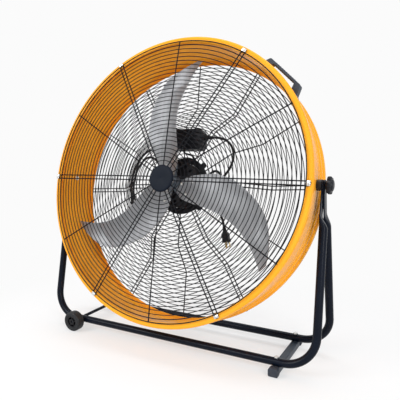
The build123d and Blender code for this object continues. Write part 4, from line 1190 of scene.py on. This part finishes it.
# %% Axle, spacers and nuts
rod = lathed(softened(oblong(0, -123, 4.9, 123), 0.9, 3), 32)
AXLE = STAND @ Matrix.Translation((AXLE_X, 0, TUBE_FLOOR))
piece("axle_rod", rod, AXLE, powder_black, "stand", ["axle"])
sleeve = lathed(softened(oblong(5.1, 95.1, 8.4, 100.8), 0.5, 2), 40)
piece("axle_sleeves", copies(sleeve, *BOTH_ENDS), AXLE, powder_black, "stand",
      ["axle_spacers"])
nut = cut_plate(circle(8.3, 6), 118.0, 122.9, 0.9, 3)
washer = lathed(softened(oblong(5.1, 116.8, 8.4, 117.9), 0.3, 2), 40)
nuts = copies(joined(nut, washer), *BOTH_ENDS)
piece("axle_lock_nuts", nuts, AXLE, zinc, "stand", ["axle_nuts"])
print("wheel faces:", made["front_wheel_rubber"], made["front_wheel_core"])

# %% [markdown]
# ## The foot bar
#
# A slate bar under the right-hand ends of both frames carries rubber end blocks and pads, so the
# fan stands level with its wheels. Hex bolts hold it from above.

# %% Foot bar
FOOT_X = 325.2
BAR_HALF = FRAME_SPREAD + 12
FOOT = STAND @ Matrix.Translation((FOOT_X, 0, 0))
bar = cut_plate(softened(oblong(-10, 2.6, 10, 20), 2.2, 3), -BAR_HALF + 0.1, BAR_HALF - 0.1)
piece("foot_rail", bar, FOOT, slate_plastic, "stand", ["foot_bar"])
block = cut_plate(softened([(-11.6, 2.2), (11.6, 2.2), (13, 6), (13, 20), (9, 25.6), (-9, 25.6), (-13, 20),
                            (-13, 6)], 2.0, 3), BAR_HALF + 0.2, BAR_HALF + 18, 2.4, 4)
piece("foot_rail_blocks", copies(block, *BOTH_ENDS), FOOT, block_rubber, "stand",
      ["foot_bar_ends"])
pad = cut_plate(softened(oblong(-8, 0, 8, 2.5), 0.6, 2), 67.4, 93.4)
piece("foot_rail_pads", copies(pad, *BOTH_ENDS), FOOT, pad_rubber, "stand",
      ["foot_pads"])
shank = lathed(oblong(0, -0.2, 2.9, 32), 20)
bolt = joined(cut_plate(circle(6.4, 6), -4.4, -0.1, 0.7, 3), shank)
bolt.transform(Matrix.Rotation(math.radians(-90), 4, "X"))
bolts = copies(
    bolt, *[Matrix.Translation((FOOT_X, side * FRAME_SPREAD, 41.2)) for side in (-1, 1)]
)
piece("foot_rail_bolts", bolts, STAND, zinc, "stand", ["foot_bar_bolts"])
print("foot bar faces:", made["foot_rail"], made["foot_rail_blocks"])

# %% [markdown]
# ## The tilt joints
#
# At both sides a bolt runs from inside the drum through a spacer and both flattened tubes into a
# lobed hand knob. Loosened, the knobs let the drum tilt; tightened, they hold it.

# %% Pivots and knobs
PIVOT = DRUM @ Matrix.Translation(PIVOT_OFF)
bush = lathed(softened(oblong(4.2, 391.2, 13.8, 403.6), 0.8, 3), 56)
bolt = joined(
    cut_plate(circle(7.8, 6), 385.5, 388.8, 0.8, 3),
    lathed(oblong(0, 387, 3.95, 422.5), 24),
)
BOTH = (ALONG_X, HALF_TURN @ ALONG_X)
piece("tilt_bushes", copies(bush, *BOTH), PIVOT, wheel_plastic, "drum",
      ["pivot_bushes"])
piece("tilt_bolts", copies(bolt, *BOTH), PIVOT, zinc, "drum", ["pivot_bolts"])


def lobed(radius, lobe, y, count=96):
    """Six-lobed outline at depth y."""
    points = []
    for k in range(count):
        a = 2 * math.pi * k / count
        r = radius + lobe * (0.5 + 0.5 * math.cos(6 * a)) ** 0.7
        points.append((r * math.cos(a), y, r * math.sin(a)))
    return points


KNOB_LEVELS = (                                    # radius, height of the lobes and depth
    (9.6, 0, 0.2), (10.8, 0, 0.8), (10.8, 0, 3.4), (11.8, 0.2, 4.0), (17.0, 3.6, 4.2),
    (17.9, 4.4, 5.2), (18.2, 4.8, 7.0), (18.2, 4.8, 12.0), (17.8, 4.4, 13.6), (17.0, 3.8, 14.6),
    (15.8, 3.0, 15.0), (14.4, 0, 15.05), (13.8, 0, 16.6), (12.4, 0, 18.0), (9.5, 0, 19.0),
    (5.0, 0, 19.4),
)
knob = stacked([lobed(*level) for level in KNOB_LEVELS])
knob.transform(Matrix.Translation((0, 412.2, 0)))
for label, way in (("right", BOTH[0]), ("left", BOTH[1])):
    copy = knob.copy()
    copy.transform(way)
    piece("hand_knob_" + label, copy, PIVOT, knob_plastic, "knob_" + label,
          ["knob_" + label])
print("knob faces:", made["hand_knob_right"])

# %% [markdown]
# ## The carrying handle
#
# The moulded grip bridges two feet that are saddled to the drum. Ribs run across the grip.

# %% Handle
HANDLE_CLOCK = 43.15
arch = softened([
    (-75, 385.2), (-59, 417), (59, 417), (75, 385.2), (60, 386.6), (47, 388.6), (46.5, 398),
    (41, 411), (-41, 411), (-46.5, 398), (-47, 388.6), (-60, 386.6),
], 4.0, 4)
foot = softened([(-76, 384.6), (-72, 391.5), (-50, 393.2), (-46, 388.9)], 2.5, 3)
feet = copies(cut_plate(foot, -17.3, 17.3, 1.4, 3), *BOTH_ENDS)
rib = softened([(-2.4, 409.0), (2.4, 409.0), (1.6, 417.8), (-1.6, 417.8)], 1.2, 2)
rib_places = [Matrix.Translation((-36 + 8 * k, 0, 0)) for k in range(10)]
ribs = copies(cut_plate(rib, -8.2, 8.2, 0.6, 2), *rib_places)
handle_mesh = joined(cut_plate(arch, -9.4, 9.4, 2.4, 4), feet, ribs)
piece("carry_handle", handle_mesh, DRUM @ clock(HANDLE_CLOCK), slate_plastic, "drum",
      ["handle"])
print("handle faces:", made["carry_handle"])

# %% [markdown]
# ## Nodes that stay
#
# The bearings and the switch are hidden inside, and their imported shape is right, so they only need
# their finish.

# %% Finishes of the nodes that stay
for node, finish in (
    ("motor_front_bearing", ground_steel), ("motor_rear_bearing", ground_steel),
    ("speed_switch", box_plastic),
):
    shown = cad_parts[node]
    shown.data.materials.clear()
    shown.data.materials.append(finish)
print("nodes kept: 3")

# %% [markdown]
# ## The studio
#
# A plain pale floor and soft lamps. Near the fan a little under half of what the camera, or a
# reflection, sees of the floor is matte paint, which takes a soft shadow. Further out it fades to
# plain white, so that it meets the white world without a line.

# %% Floor and world
floor_mesh = bpy.data.meshes.new("studio_floor")
floor_mesh.from_pydata([(-9, -9, 0), (9, -9, 0), (9, 9, 0), (-9, 9, 0)], [], [(0, 1, 2, 3)])
floor = linked("studio_floor", floor_mesh)
floor_paint = bpy.data.materials.new("studio_floor")
floor_paint.use_nodes = True
shader(floor_paint).inputs["Base Color"].default_value = (0.93, 0.93, 0.93, 1)
shader(floor_paint).inputs["Roughness"].default_value = 0.9
shader(floor_paint).inputs["Specular IOR Level"].default_value = 0.0
floor_mesh.materials.append(floor_paint)


def clear_view(tree):
    """One where the camera, a reflection or something clear looks, zero for light itself."""
    seen = step(tree, "ShaderNodeLightPath").outputs
    total = seen["Is Camera Ray"]
    for other in ("Is Glossy Ray", "Is Transmission Ray"):
        total = maths(tree, "MAXIMUM", total, seen[other])
    return total


WHITE = (0.965, 0.965, 0.965, 1)
far = floor_paint.node_tree
place = step(far, "ShaderNodeTexCoord").outputs["Object"]
reach = step(far, "ShaderNodeVectorMath", ((0, place),), operation="LENGTH").outputs["Value"]
fade = step(far, "ShaderNodeMapRange", (
    ("From Min", 0.25), ("From Max", 0.95), ("To Min", 0.55), ("Value", reach),
), interpolation_type="SMOOTHSTEP").outputs["Result"]
white = step(far, "ShaderNodeEmission", (("Color", WHITE),)).outputs[0]
blend = step(far, "ShaderNodeMixShader", (
    (0, maths(far, "MULTIPLY", fade, clear_view(far))), (1, shader(floor_paint).outputs[0]), (2, white),
)).outputs[0]
far.links.new(blend, far.nodes["Material Output"].inputs["Surface"])

world = bpy.data.worlds.new("studio")
bpy.context.scene.world = world
world.use_nodes = True
room = world.node_tree
sky = room.nodes["Background"]
sky.inputs["Strength"].default_value = 1.0
shade = step(room, "ShaderNodeMix", (
    (0, clear_view(room)), (6, (0.45, 0.46, 0.48, 1)), (7, WHITE),
), data_type="RGBA").outputs[2]
room.links.new(shade, sky.inputs["Color"])
print("world:", world.name)


# %% Lamps
def lamp(name, place, aim, size, power):
    light = bpy.data.lights.new(name, "AREA")
    light.shape = "RECTANGLE"
    light.size, light.size_y = size
    light.energy = power
    thing = linked(name, light)
    thing.location = place
    thing.rotation_euler = (Vector(aim) - Vector(place)).to_track_quat("-Z", "Y").to_euler()


lamp("key_lamp", (-1.7, -2.5, 2.2), (0, 0, 0.45), (1.8, 1.2), 59)
lamp("top_lamp", (-0.1, 0.5, 3.0), (0, 0, 0.4), (2.4, 2.0), 44)
lamp("side_lamp", (2.1, -1.6, 1.3), (0, 0, 0.45), (1.0, 1.6), 33)
bpy.context.scene.view_settings.view_transform = "Standard"
print("lamps: 3")

# %% [markdown]
# ## Finish
#
# The number of pieces, the cord among them, and the sum of their faces are printed.

# %% Counts and finish
print("pieces:", len(made) + 1, "faces:", sum(made.values()))
